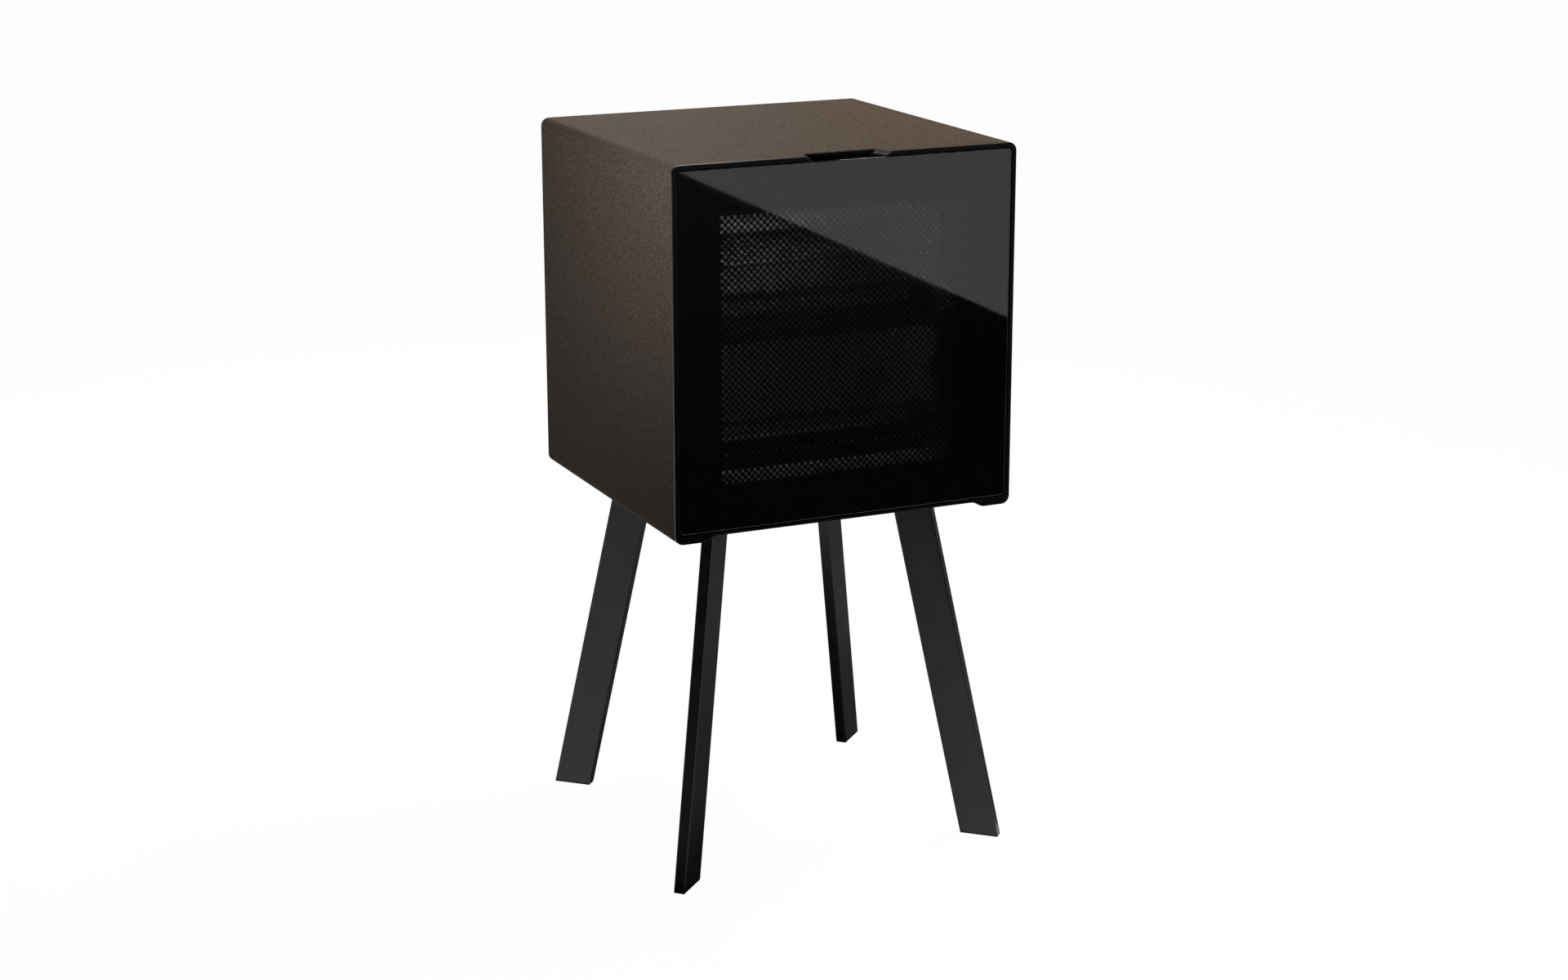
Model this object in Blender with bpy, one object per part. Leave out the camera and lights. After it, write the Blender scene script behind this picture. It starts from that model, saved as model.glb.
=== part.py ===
"""Glass door minibar fridge on four splayed flat legs.

Metres, +Z up, the door faces -Y.  The origin is on the floor, below the middle of the case.
"""
import math

import bmesh
import bpy
from mathutils import Matrix, Vector

# Overall sizes
CASE_WIDTH = 0.458
CASE_HEIGHT = 0.460
CASE_DEPTH = 0.436
LEG_HEIGHT = 0.454
GAP = 0.0003
OVERCUT = 0.001
UP = (0, 0, 1)

# Outer shell, a folded sheet with short returns under the case, and the step of the base plate
SHELL_THICKNESS = 0.0012
CORNER_RADIUS = 0.0105
RETURN_WIDTH = 0.032
BASE_STEP = 0.012

# Black front frame, with a raised lower edge between its two bottom pads
FRAME_PROUD = 0.004
FRAME_BORDER = 0.0052
FRAME_EDGE = 0.001
PAD_WIDTH = 0.036
PAD_CURVE = 0.018
UNDERCUT = 0.0066
SILL_THICKNESS = 0.004
WELL_DEPTH = 0.042
SEAT_THICKNESS = 0.003

# Finger recess at the middle of the top front edge
RECESS_HALF_FRONT = 0.059
RECESS_HALF_BACK = 0.0485
RECESS_DEPTH = 0.025
RECESS_LEAN = 1.6

# Door
DOOR_CLEARANCE = 0.0014
GLASS_THICKNESS = 0.004
GLASS_SETBACK = 0.0004
GLASS_RADIUS = 0.004
GLASS_BEVEL = 0.001
DOOR_FRAME_STEP = 0.001
DOOR_FRAME_DEPTH = 0.027
DOOR_OPENING_MARGIN = 0.0525
PULL_DEPTH = 0.020
PULL_HALF = 0.044
PULL_TAPER = 0.006

# Glazing behind the front glass
PANE_SPACE = 0.0114
SPACER_WIDTH = 0.008
REBATE = 0.006
INNER_PANE = 0.004
TRIM_OPENING_MARGIN = 0.059
TRIM_FLANGE = 0.0045
TRIM_FLANGE_DEPTH = 0.004
RAIL_THICKNESS = 0.005
RAIL_MARGIN = 0.053
RAIL_DEPTH = 0.054
RAIL_TOP_MARGIN = 0.062
GASKET_WIDTH = 0.0105
GASKET_RIB = 0.003

# Hinge
HINGE_INSET = 0.020
HINGE_BEHIND_GLASS = 0.004
PIN_RADIUS = 0.002
PIN_PLAY = 0.00008
PIN_REACH = 0.012
PIN_HEAD_RADIUS = 0.0034
PIN_SIDES = 16
BUSH_WALL = 0.0008
BUSH_FLANGE = 0.0008
HINGE_PLATE_THICKNESS = 0.0015
HINGE_PLATE_LENGTH = 0.046
HINGE_PLATE_WIDTH = 0.012
PIN_TO_PLATE_EDGE = 0.0028

# Inside of the case
LINER_MARGIN = 0.040
UNIT_SPACE = 0.0927
LINER_WALL = 0.002
LINER_FLANGE = 0.012
LINER_RADIUS = 0.012
FOAM_BACK = 0.030
SHEET = 0.0012

# Shelves and door racks, by the height of their floors above the case bottom
UPPER_SHELF_HEIGHT = 0.311
LOWER_SHELF_HEIGHT = 0.241
SHELF_FRONT_SPACE = 0.090
SHELF_BACK_SPACE = 0.029
SHELF_WIRE = 0.0025
SHELF_ROD = 0.0015
SHELF_ROD_PITCH = 0.023
SHELF_SIDE_PLAY = 0.0015
SHELF_CORNER = 0.012
LEDGE_DEPTH = 0.008
LEDGE_THICKNESS = 0.005
UPPER_RACK_HEIGHT = 0.235
LOWER_RACK_HEIGHT = 0.078
RACK_WALL = 0.002
RACK_RAIL_HEIGHT = 0.042
RACK_BACK_HEIGHT = 0.016
RACK_DEPTH = 0.070
RACK_CORNER = 0.018
RACK_PLAY = 0.0008
BOSS_WIDTH = 0.010
BOSS_HEIGHT = 0.010
BOSS_REACH = 0.0032
BOSS_LIFT = 0.008

# Cold plate, drip tray, lamp and thermostat
COLD_SIDE_SPACE = 0.039
COLD_TOP_SPACE = 0.014
COLD_HEIGHT = 0.066
COLD_BASE = 0.005
FIN_COUNT = 20
FIN_DEPTH = 0.018
FIN_THICKNESS = 0.002
TRAY_OVERHANG = 0.008
TRAY_DEPTH = 0.036
TRAY_HEIGHT = 0.012
TRAY_WALL = 0.0015
TRAY_BELOW = 0.008
HOUSING_WIDTH = 0.150
HOUSING_DEPTH = 0.056
HOUSING_HEIGHT = 0.016
HOUSING_FRONT_SPACE = 0.078
LAMP_WIDTH = 0.070
LAMP_DEPTH = 0.030
LAMP_THICKNESS = 0.002
KNOB_RADIUS = 0.012
KNOB_HEIGHT = 0.010
KNOB_SHAFT = 0.003
KNOB_OFFSET = 0.052

# Cooling unit behind the insulation
TUBE_RADIUS = 0.007
TANK_RADIUS = 0.025
TANK_SPACE = 0.030
TANK_HEIGHT = 0.044
BOILER_RADIUS = 0.028
BOILER_HEIGHT = 0.220
BOILER_LIFT = 0.092
BOILER_SIDE_SPACE = 0.079
HEATER_RADIUS = 0.006
HEATER_LENGTH = 0.030
CONDENSER_DROP = 0.036
CONDENSER_FALL = 0.016
CONDENSER_FIN = 0.042
CONDENSER_FIN_COUNT = 13
CONDENSER_FIN_THICKNESS = 0.0012
CONDENSER_SIDE_SPACE = 0.093
COIL_PITCH = 0.040
COIL_PASSES = 4
DRAIN_RADIUS = 0.005
COVER_FLANGE = 0.012
COVER_SETBACK = 0.0015
SLOT_LENGTH = 0.070
SLOT_HEIGHT = 0.005
SLOT_PITCH_X = 0.090
SLOT_PITCH_Z = 0.013
SLOT_COLUMNS = 4
SLOT_ROWS = 6
SLOT_FIELD_MARGIN = 0.030
BOX_WIDTH = 0.080
BOX_HEIGHT = 0.062
BOX_DEPTH = 0.052
INLET_WIDTH = 0.028
INLET_HEIGHT = 0.020
INLET_DEPTH = 0.016
INLET_WALL = 0.002
INLET_PIN = 0.002
SCREW_RADIUS = 0.002
SCREW_HEAD_RADIUS = 0.004
SCREW_HEAD = 0.002

# Legs, flat rectangular tube in the two diagonal planes of the case
LEG_WIDTH = 0.050
LEG_THICKNESS = 0.015
LEG_WALL = 0.0015
LEG_TOP_INSET = 0.1281
LEG_REACH = 0.1007
LEG_PLATE_LENGTH = 0.060
LEG_PLATE_WIDTH = 0.066
LEG_PLATE_THICKNESS = 0.003
BOLT_OFFSET = 0.024
BOLT_RADIUS = 0.003
BOLT_HEAD_RADIUS = 0.0055
BOLT_HEAD = 0.0028
BOLT_SIDES = 8
NUT_RADIUS = 0.006
NUT_HEIGHT = 0.006
GLIDE_SOLE = 0.002
GLIDE_PLUG = 0.012

# Planes and centres that follow from the sizes above
HALF_WIDTH = CASE_WIDTH / 2
CASE_BOTTOM = LEG_HEIGHT
CASE_TOP = CASE_BOTTOM + CASE_HEIGHT
SHELL_FRONT = -CASE_DEPTH / 2
SHELL_BACK = CASE_DEPTH / 2
FRAME_FRONT = SHELL_FRONT - FRAME_PROUD
SEAT_FRONT = FRAME_FRONT + WELL_DEPTH
SEAT_BACK = SEAT_FRONT + SEAT_THICKNESS
SILL_TOP = CASE_BOTTOM + UNDERCUT + SILL_THICKNESS
GLASS_MARGIN = FRAME_BORDER + DOOR_CLEARANCE
GLASS_FRONT = FRAME_FRONT + GLASS_SETBACK
GLASS_BACK = GLASS_FRONT + GLASS_THICKNESS
DOOR_FRONT = GLASS_BACK + GAP
DOOR_BACK = DOOR_FRONT + DOOR_FRAME_DEPTH
INNER_PANE_FRONT = DOOR_FRONT + PANE_SPACE + GAP
INNER_PANE_BACK = INNER_PANE_FRONT + INNER_PANE
TRIM_BACK = DOOR_BACK + GAP + TRIM_FLANGE_DEPTH
RAIL_HALF = HALF_WIDTH - RAIL_MARGIN
HINGE_X = HALF_WIDTH - GLASS_MARGIN - HINGE_INSET
HINGE_Y = GLASS_BACK + HINGE_BEHIND_GLASS
DOOR_TOP = CASE_TOP - GLASS_MARGIN - DOOR_FRAME_STEP
DOOR_BOTTOM = SILL_TOP + DOOR_CLEARANCE
RECESS_BACK = FRAME_FRONT + RECESS_DEPTH
LINER_HALF = HALF_WIDTH - LINER_MARGIN
LINER_TOP = CASE_TOP - LINER_MARGIN
LINER_FRONT = SEAT_BACK + GAP
FOAM_REAR = SHELL_BACK - UNIT_SPACE
LINER_BACK = FOAM_REAR - FOAM_BACK
BASE_TOP = CASE_BOTTOM + UNDERCUT + SHEET
INNER_HALF = HALF_WIDTH - SHELL_THICKNESS - GAP
INNER_TOP = CASE_TOP - SHELL_THICKNESS - GAP
PANEL_BACK = FOAM_REAR + GAP + SHEET
COVER_BACK = SHELL_BACK - COVER_SETBACK
UNIT_Y = (PANEL_BACK + COVER_BACK) / 2
BOILER_X = HALF_WIDTH - BOILER_SIDE_SPACE
COLD_BACK = LINER_BACK - LINER_WALL - GAP
COLD_HALF = LINER_HALF - COLD_SIDE_SPACE
COLD_LOW = LINER_TOP - COLD_TOP_SPACE - COLD_HEIGHT
LEG_SPREAD = math.atan2(CASE_DEPTH, CASE_WIDTH)
LEG_FOOT_RADIUS = math.hypot(CASE_WIDTH, CASE_DEPTH) / 2 - LEG_TOP_INSET + LEG_REACH
LEG_SPLAY = LEG_REACH / LEG_HEIGHT
LEG_PLATE_TOP = CASE_BOTTOM + UNDERCUT - GAP
LEG_PLATE_BOTTOM = LEG_PLATE_TOP - LEG_PLATE_THICKNESS


def clear_scene():
    for item in list(bpy.data.objects):
        bpy.data.objects.remove(item, do_unlink=True)


def principled(name, colour, roughness, metallic=0.0, transmission=0.0):
    material = bpy.data.materials.new(name)
    material.use_nodes = True
    shader = material.node_tree.nodes["Principled BSDF"]
    shader.inputs["Base Color"].default_value = (*colour, 1.0)
    shader.inputs["Roughness"].default_value = roughness
    shader.inputs["Metallic"].default_value = metallic
    shader.inputs["Transmission Weight"].default_value = transmission
    material.diffuse_color = (*colour, 1.0)
    return material


def make_materials():
    return {
        "bronze_shell": principled("bronze_shell", (0.085, 0.064, 0.05), 0.55, 0.4),
        "black_frame": principled("black_frame", (0.008, 0.008, 0.009), 0.35),
        "smoked_glass": principled("smoked_glass", (0.02, 0.02, 0.022), 0.05, 0.0, 0.8),
        "clear_glass": principled("clear_glass", (0.8, 0.82, 0.82), 0.05, 0.0, 0.9),
        "spacer_metal": principled("spacer_metal", (0.05, 0.05, 0.05), 0.4, 0.8),
        "grey_liner": principled("grey_liner", (0.12, 0.12, 0.13), 0.5),
        "foam": principled("foam", (0.75, 0.66, 0.42), 0.9),
        "zinc_sheet": principled("zinc_sheet", (0.55, 0.56, 0.57), 0.4, 0.9),
        "black_sheet": principled("black_sheet", (0.02, 0.02, 0.021), 0.5, 0.3),
        "rubber_seal": principled("rubber_seal", (0.02, 0.02, 0.02), 0.8),
        "rack_plastic": principled("rack_plastic", (0.05, 0.05, 0.055), 0.35),
        "shelf_wire": principled("shelf_wire", (0.02, 0.02, 0.02), 0.4, 0.2),
        "cast_aluminium": principled("cast_aluminium", (0.6, 0.61, 0.62), 0.4, 0.9),
        "unit_steel": principled("unit_steel", (0.03, 0.03, 0.032), 0.45, 0.5),
        "white_lamp": principled("white_lamp", (0.85, 0.86, 0.84), 0.4),
        "board_green": principled("board_green", (0.03, 0.16, 0.07), 0.5),
        "hinge_steel": principled("hinge_steel", (0.5, 0.5, 0.52), 0.3, 1.0),
        "bearing_nylon": principled("bearing_nylon", (0.75, 0.75, 0.72), 0.5),
        "leg_paint": principled("leg_paint", (0.028, 0.027, 0.028), 0.5, 0.2),
        "glide_plastic": principled("glide_plastic", (0.02, 0.02, 0.02), 0.6),
    }


def new_object(name, mesh, material=None):
    item = bpy.data.objects.new(name, mesh)
    bpy.context.scene.collection.objects.link(item)
    if material is not None:
        mesh.materials.append(material)
    return item


def mesh_from(name, bm):
    bmesh.ops.recalc_face_normals(bm, faces=bm.faces)
    if bm.calc_volume(signed=True) < 0:
        bmesh.ops.reverse_faces(bm, faces=bm.faces)
    mesh = bpy.data.meshes.new(name)
    bm.to_mesh(mesh)
    bm.free()
    return mesh


def smooth(item, angle=35.0):
    item.data.shade_smooth()
    item.data.set_sharp_from_angle(angle=math.radians(angle))
    return item


def prism(name, outline, direction, material=None):
    """Extrude a flat outline of 3-D points along a direction."""
    bm = bmesh.new()
    corners = [bm.verts.new(point) for point in outline]
    face = bm.faces.new(corners)
    result = bmesh.ops.extrude_face_region(bm, geom=[face])
    moved = [part for part in result["geom"] if isinstance(part, bmesh.types.BMVert)]
    bmesh.ops.translate(bm, verts=moved, vec=Vector(direction))
    return new_object(name, mesh_from(name, bm), material)


def front_prism(name, outline, y_low, y_high, material=None):
    """Extrude an outline of (x, z) points along Y."""
    points = [(x, y_low, z) for x, z in outline]
    return prism(name, points, (0, y_high - y_low, 0), material)


def plan_prism(name, outline, z_low, z_high, material=None):
    """Extrude an outline of (x, y) points along Z."""
    points = [(x, y, z_low) for x, y in outline]
    return prism(name, points, (0, 0, z_high - z_low), material)


def block(name, low, high, material=None):
    outline = [(low[0], low[1]), (high[0], low[1]), (high[0], high[1]), (low[0], high[1])]
    return plan_prism(name, outline, low[2], high[2], material)


def arc(centre, radius, start, end, steps):
    points = []
    for index in range(steps + 1):
        angle = math.radians(start + (end - start) * index / steps)
        points.append((centre[0] + radius * math.cos(angle), centre[1] + radius * math.sin(angle)))
    return points


def rounded_rectangle(low, high, radius, steps=4):
    outline = arc((high[0] - radius, low[1] + radius), radius, -90, 0, steps)
    outline += arc((high[0] - radius, high[1] - radius), radius, 0, 90, steps)
    outline += arc((low[0] + radius, high[1] - radius), radius, 90, 180, steps)
    outline += arc((low[0] + radius, low[1] + radius), radius, 180, 270, steps)
    return outline


def case_rectangle(margin, radius, low=None):
    """A rounded opening or pane at one margin inside the outline of the case."""
    bottom = CASE_BOTTOM + margin if low is None else low
    half = HALF_WIDTH - margin
    return rounded_rectangle((-half, bottom), (half, CASE_TOP - margin), radius)


def turned(name, profile, centre, axis, material=None, sides=20):
    """Spin a closed (radius, height) profile round an axis."""
    bm = bmesh.new()
    ring = [bm.verts.new((radius, 0, height)) for radius, height in profile]
    edges = [bm.edges.new((ring[i], ring[i + 1])) for i in range(len(ring) - 1)]
    if min(profile[0][0], profile[-1][0]) > 0:
        edges.append(bm.edges.new((ring[-1], ring[0])))
    geometry = ring + edges
    bmesh.ops.spin(bm, geom=geometry, cent=(0, 0, 0), axis=(0, 0, 1), angle=math.tau, steps=sides)
    bmesh.ops.remove_doubles(bm, verts=bm.verts, dist=0.00001)
    turn = Vector((0, 0, 1)).rotation_difference(Vector(axis)).to_matrix().to_4x4()
    bm.transform(Matrix.Translation(Vector(centre)) @ turn)
    return smooth(new_object(name, mesh_from(name, bm), material))


def cylinder(name, centre, radius, length, axis, material=None, sides=16):
    profile = [(0, 0), (radius, 0), (radius, length), (0, length)]
    return turned(name, profile, centre, axis, material, sides)


def rounded_path(corners, radius, steps=4):
    """Replace each inner corner of a path by a short arc."""
    points = [Vector(corners[0])]
    for before, corner, after in zip(corners, corners[1:], corners[2:]):
        corner = Vector(corner)
        back = (Vector(before) - corner).normalized()
        ahead = (Vector(after) - corner).normalized()
        half_angle = back.angle(ahead) / 2
        reach = radius / math.tan(half_angle)
        middle = corner + (back + ahead).normalized() * radius / math.sin(half_angle)
        start = corner + back * reach - middle
        end = corner + ahead * reach - middle
        for index in range(steps + 1):
            points.append(middle + start.slerp(end, index / steps).normalized() * radius)
    points.append(Vector(corners[-1]))
    return points


def rod_mesh(name, points, radius, closed=False, resolution=2):
    """Sweep a round section along points, as a curve with a bevel and filled caps."""
    curve = bpy.data.curves.new(name, "CURVE")
    curve.dimensions = "3D"
    curve.bevel_depth = radius
    curve.bevel_resolution = resolution
    curve.use_fill_caps = not closed
    spline = curve.splines.new("POLY")
    spline.points.add(len(points) - 1)
    for target, point in zip(spline.points, points):
        target.co = (*point, 1.0)
    spline.use_cyclic_u = closed
    guide = bpy.data.objects.new(name, curve)
    bpy.context.scene.collection.objects.link(guide)
    evaluated = guide.evaluated_get(bpy.context.evaluated_depsgraph_get())
    mesh = bpy.data.meshes.new_from_object(evaluated)
    bpy.data.objects.remove(guide, do_unlink=True)
    bm = bmesh.new()
    bm.from_mesh(mesh)
    bmesh.ops.remove_doubles(bm, verts=bm.verts, dist=0.00001)
    return mesh_from(name, bm)


def rod(name, points, radius, material=None, closed=False, resolution=2):
    mesh = rod_mesh(name, points, radius, closed, resolution)
    mesh.materials.clear()
    return smooth(new_object(name, mesh, material), 50.0)


def combine(target, tool, operation):
    tool.hide_render = True
    tool.display_type = "WIRE"
    modifier = target.modifiers.new(tool.name, "BOOLEAN")
    modifier.operation = operation
    modifier.solver = "EXACT"
    modifier.object = tool


def cut(target, *tools):
    for tool in tools:
        combine(target, tool, "DIFFERENCE")


def weld(target, *tools):
    for tool in tools:
        combine(target, tool, "UNION")


def merged(name, parts):
    """Put several separate closed shapes into one helper mesh."""
    bm = bmesh.new()
    for part in parts:
        bm.from_mesh(part.data)
        bpy.data.objects.remove(part, do_unlink=True)
    return new_object(name, mesh_from(name, bm))


def round_marked_edges(item, width, is_marked):
    """Round only the edges whose two end points pass a test."""
    weights = item.data.attributes.new("bevel_weight_edge", "FLOAT", "EDGE")
    for edge in item.data.edges:
        start, end = (item.data.vertices[index].co for index in edge.vertices)
        weights.data[edge.index].value = 1.0 if is_marked(start, end) else 0.0
    rounding = item.modifiers.new("rounded_edges", "BEVEL")
    rounding.width = width
    rounding.segments = 2
    rounding.limit_method = "WEIGHT"


def at_front(start, end):
    return max(start.y, end.y) < FRAME_FRONT + OVERCUT


def along_leg(start, end):
    return abs(start.z - end.z) > LEG_HEIGHT / 2


def case_outline(inset, lift):
    """Front outline of the case, with the raised edge between its two bottom pads."""
    half = HALF_WIDTH - inset
    radius = CORNER_RADIUS - inset
    low = CASE_BOTTOM + inset
    high = CASE_TOP - inset
    raised = CASE_BOTTOM + UNDERCUT + lift
    pad = HALF_WIDTH - PAD_WIDTH
    steps = 6
    wave = []
    for index in range(steps + 1):
        share = index / steps
        height = low + (raised - low) * (1 - math.cos(math.pi * share)) / 2
        wave.append((pad - PAD_CURVE * share, height))
    outline = [(-x, z) for x, z in wave]
    outline += list(reversed(wave))
    outline += arc((half - radius, low + radius), radius, -90, 0, 5)
    outline += arc((half - radius, high - radius), radius, 0, 90, 5)
    outline += arc((radius - half, high - radius), radius, 90, 180, 5)
    outline += arc((radius - half, low + radius), radius, 180, 270, 5)
    return outline


def shell_side(inset):
    """One face of the folded sheet, from the left return over the top to the right one."""
    half = HALF_WIDTH - inset
    radius = CORNER_RADIUS - inset
    low = CASE_BOTTOM + inset
    high = CASE_TOP - inset
    end = HALF_WIDTH - RETURN_WIDTH
    path = [(-end, low)]
    path += list(reversed(arc((radius - half, low + radius), radius, 180, 270, 5)))
    path += list(reversed(arc((radius - half, high - radius), radius, 90, 180, 5)))
    path += list(reversed(arc((half - radius, high - radius), radius, 0, 90, 5)))
    path += list(reversed(arc((half - radius, low + radius), radius, -90, 0, 5)))
    path.append((end, low))
    return path


def recess_cutter(name):
    """The space of the finger recess above the door, narrower below and to the back."""
    high = CASE_TOP + OVERCUT
    low = CASE_TOP - FRAME_BORDER - OVERCUT
    front = FRAME_FRONT - OVERCUT
    narrowing = (RECESS_HALF_FRONT - RECESS_HALF_BACK) / RECESS_DEPTH
    bm = bmesh.new()
    rings = []
    for z in (low, high):
        lean = RECESS_LEAN * (CASE_TOP - z)
        half_front = RECESS_HALF_FRONT + narrowing * OVERCUT - lean
        half_back = RECESS_HALF_BACK - lean
        corners = [(-half_front, front), (half_front, front)]
        corners += [(half_back, RECESS_BACK), (-half_back, RECESS_BACK)]
        rings.append([bm.verts.new((x, y, z)) for x, y in corners])
    bm.faces.new(rings[0])
    bm.faces.new(rings[1])
    for index in range(4):
        after = (index + 1) % 4
        bm.faces.new((rings[0][index], rings[0][after], rings[1][after], rings[1][index]))
    return new_object(name, mesh_from(name, bm))


def make_outer_shell(material):
    outline = shell_side(0.0) + list(reversed(shell_side(SHELL_THICKNESS)))
    shell = front_prism("outer_shell", outline, SHELL_FRONT, SHELL_BACK, material)
    cut(shell, recess_cutter("shell_recess_cutter"))
    return smooth(shell)


def make_front_frame(material):
    """Collar round the door: a proud ring, a well for the door and a seat for its gasket."""
    frame = front_prism("front_frame", case_outline(0.0, 0.0), FRAME_FRONT, SHELL_FRONT - GAP, material)
    round_marked_edges(frame, FRAME_EDGE, at_front)
    inset = SHELL_THICKNESS + GAP
    sleeve = front_prism("frame_sleeve", case_outline(inset, GAP), FRAME_FRONT + OVERCUT, SEAT_BACK)
    weld(frame, sleeve)
    well_outline = case_rectangle(FRAME_BORDER, GLASS_RADIUS + DOOR_CLEARANCE, SILL_TOP)
    well = front_prism("frame_well_cutter", well_outline, FRAME_FRONT - OVERCUT, SEAT_FRONT)
    throat_outline = case_rectangle(LINER_MARGIN, LINER_RADIUS)
    throat = front_prism("frame_throat_cutter", throat_outline, SEAT_FRONT - OVERCUT, SEAT_BACK + OVERCUT)
    cut(frame, well, throat, recess_cutter("frame_recess_cutter"))
    for end, z in (("top", CASE_TOP - FRAME_BORDER), ("bottom", SILL_TOP)):
        cut(frame, hinge_plate_pocket(f"frame_{end}_plate_cutter", z))
    return smooth(frame)


def hinge_plate_outline(margin=0.0):
    """Plan of a hinge plate, round at the pin and square at its inner end."""
    half = HINGE_PLATE_WIDTH / 2 + margin
    inner = HINGE_X - HINGE_PLATE_LENGTH + HINGE_PLATE_WIDTH / 2 - margin
    centre_y = HINGE_Y - PIN_TO_PLATE_EDGE + HINGE_PLATE_WIDTH / 2
    outline = arc((HINGE_X, centre_y), half, -90, 90, 8)
    outline += [(inner, centre_y + half), (inner, centre_y - half)]
    return outline


def hinge_plate_pocket(name, face_z):
    depth = HINGE_PLATE_THICKNESS + GAP
    return plan_prism(name, hinge_plate_outline(GAP), face_z - depth, face_z + depth)


def make_hinge(end, face_z, into_door, materials):
    """One hinge: a plate let into the frame, its pin, and the bush in the door, which is returned."""
    plate_far = face_z - into_door * HINGE_PLATE_THICKNESS
    low, high = sorted((face_z, plate_far))
    plate = plan_prism(f"{end}_hinge_plate", hinge_plate_outline(), low, high, materials["hinge_steel"])
    reach = HINGE_PLATE_THICKNESS + 2 * OVERCUT
    start = plate_far - into_door * OVERCUT
    axis = (0, 0, into_door)
    bore = PIN_RADIUS + PIN_PLAY
    cut(plate, cylinder(f"{end}_plate_cutter", (HINGE_X, HINGE_Y, start), bore, reach, axis))
    bush_start = DOOR_TOP if into_door < 0 else DOOR_BOTTOM
    pin_length = HINGE_PLATE_THICKNESS + abs(bush_start - face_z) + PIN_REACH
    collar = HINGE_PLATE_THICKNESS + GAP
    collar_end = collar + BUSH_FLANGE
    profile = [(0, 0), (PIN_RADIUS, 0), (PIN_RADIUS, collar), (PIN_HEAD_RADIUS, collar)]
    profile += [(PIN_HEAD_RADIUS, collar_end), (PIN_RADIUS, collar_end)]
    profile += [(PIN_RADIUS, pin_length - PIN_RADIUS / 2), (PIN_RADIUS / 2, pin_length), (0, pin_length)]
    steel = materials["hinge_steel"]
    turned(f"{end}_hinge_pin", profile, (HINGE_X, HINGE_Y, plate_far), axis, steel, PIN_SIDES)
    outer = bore + BUSH_WALL
    length = PIN_REACH + 2 * GAP
    profile = [(bore, GAP), (outer, GAP), (outer, length), (bore, length)]
    nylon = materials["bearing_nylon"]
    return turned(f"{end}_hinge_bush", profile, (HINGE_X, HINGE_Y, bush_start), axis, nylon, PIN_SIDES)


def make_door_glass(material):
    outline = case_rectangle(GLASS_MARGIN, GLASS_RADIUS, DOOR_BOTTOM)
    glass = front_prism("door_glass", outline, GLASS_FRONT, GLASS_BACK, material)
    bevel = glass.modifiers.new("polished_edge", "BEVEL")
    bevel.width = GLASS_BEVEL
    bevel.segments = 2
    bevel.limit_method = "ANGLE"
    bevel.angle_limit = math.radians(60)
    return smooth(glass)


def make_door_frame(material):
    """Moulded frame behind the front glass, with a pull pocket under the finger recess."""
    outline = case_rectangle(GLASS_MARGIN + DOOR_FRAME_STEP, GLASS_RADIUS, DOOR_BOTTOM)
    frame = front_prism("door_frame", outline, DOOR_FRONT, DOOR_BACK, material)
    opening_outline = case_rectangle(DOOR_OPENING_MARGIN, GLASS_RADIUS)
    opening = front_prism("door_opening_cutter", opening_outline, DOOR_FRONT - OVERCUT, DOOR_BACK + OVERCUT)
    rebate_outline = case_rectangle(DOOR_OPENING_MARGIN - REBATE, GLASS_RADIUS)
    rebate = front_prism("door_rebate_cutter", rebate_outline, INNER_PANE_FRONT - GAP, DOOR_BACK + OVERCUT)
    cut(frame, opening, rebate, pull_cutter())
    for end, z, into_door in (("top", DOOR_TOP, -1), ("bottom", DOOR_BOTTOM, 1)):
        radius = PIN_RADIUS + PIN_PLAY + BUSH_WALL + GAP
        start = (HINGE_X, HINGE_Y, z - into_door * OVERCUT)
        depth = PIN_REACH + 3 * GAP + OVERCUT
        cut(frame, cylinder(f"{end}_bush_cutter", start, radius, depth, (0, 0, into_door)))
    return smooth(frame)


def pull_cutter():
    front = DOOR_FRONT - OVERCUT
    low_half = PULL_HALF - PULL_TAPER
    corners = [(-PULL_HALF, front), (PULL_HALF, front), (low_half, RECESS_BACK), (-low_half, RECESS_BACK)]
    return plan_prism("door_pull_cutter", corners, DOOR_TOP - PULL_DEPTH, DOOR_TOP + OVERCUT)


def ring(name, outer_margin, inner_margin, y_low, y_high, material, radius=GLASS_RADIUS):
    """A flat rectangular ring that follows the outline of the case."""
    item = front_prism(name, case_rectangle(outer_margin, radius), y_low, y_high, material)
    hole = case_rectangle(inner_margin, radius)
    cut(item, front_prism(f"{name}_cutter", hole, y_low - OVERCUT, y_high + OVERCUT))
    return item


def make_glazing(materials):
    margin = DOOR_OPENING_MARGIN + GAP
    spacer_back = INNER_PANE_FRONT - GAP
    metal = materials["spacer_metal"]
    ring("glazing_spacer", margin, margin + SPACER_WIDTH, DOOR_FRONT, spacer_back, metal)
    outline = case_rectangle(DOOR_OPENING_MARGIN - REBATE + GAP, GLASS_RADIUS)
    front_prism("inner_glass", outline, INNER_PANE_FRONT, INNER_PANE_BACK, materials["clear_glass"])


def rack_heights():
    return {"upper": CASE_BOTTOM + UPPER_RACK_HEIGHT, "lower": CASE_BOTTOM + LOWER_RACK_HEIGHT}


def boss_span():
    """Front and back of the blocks that carry a rack."""
    middle = TRIM_BACK + RAIL_DEPTH / 2
    return middle - BOSS_WIDTH / 2, middle + BOSS_WIDTH / 2


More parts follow.
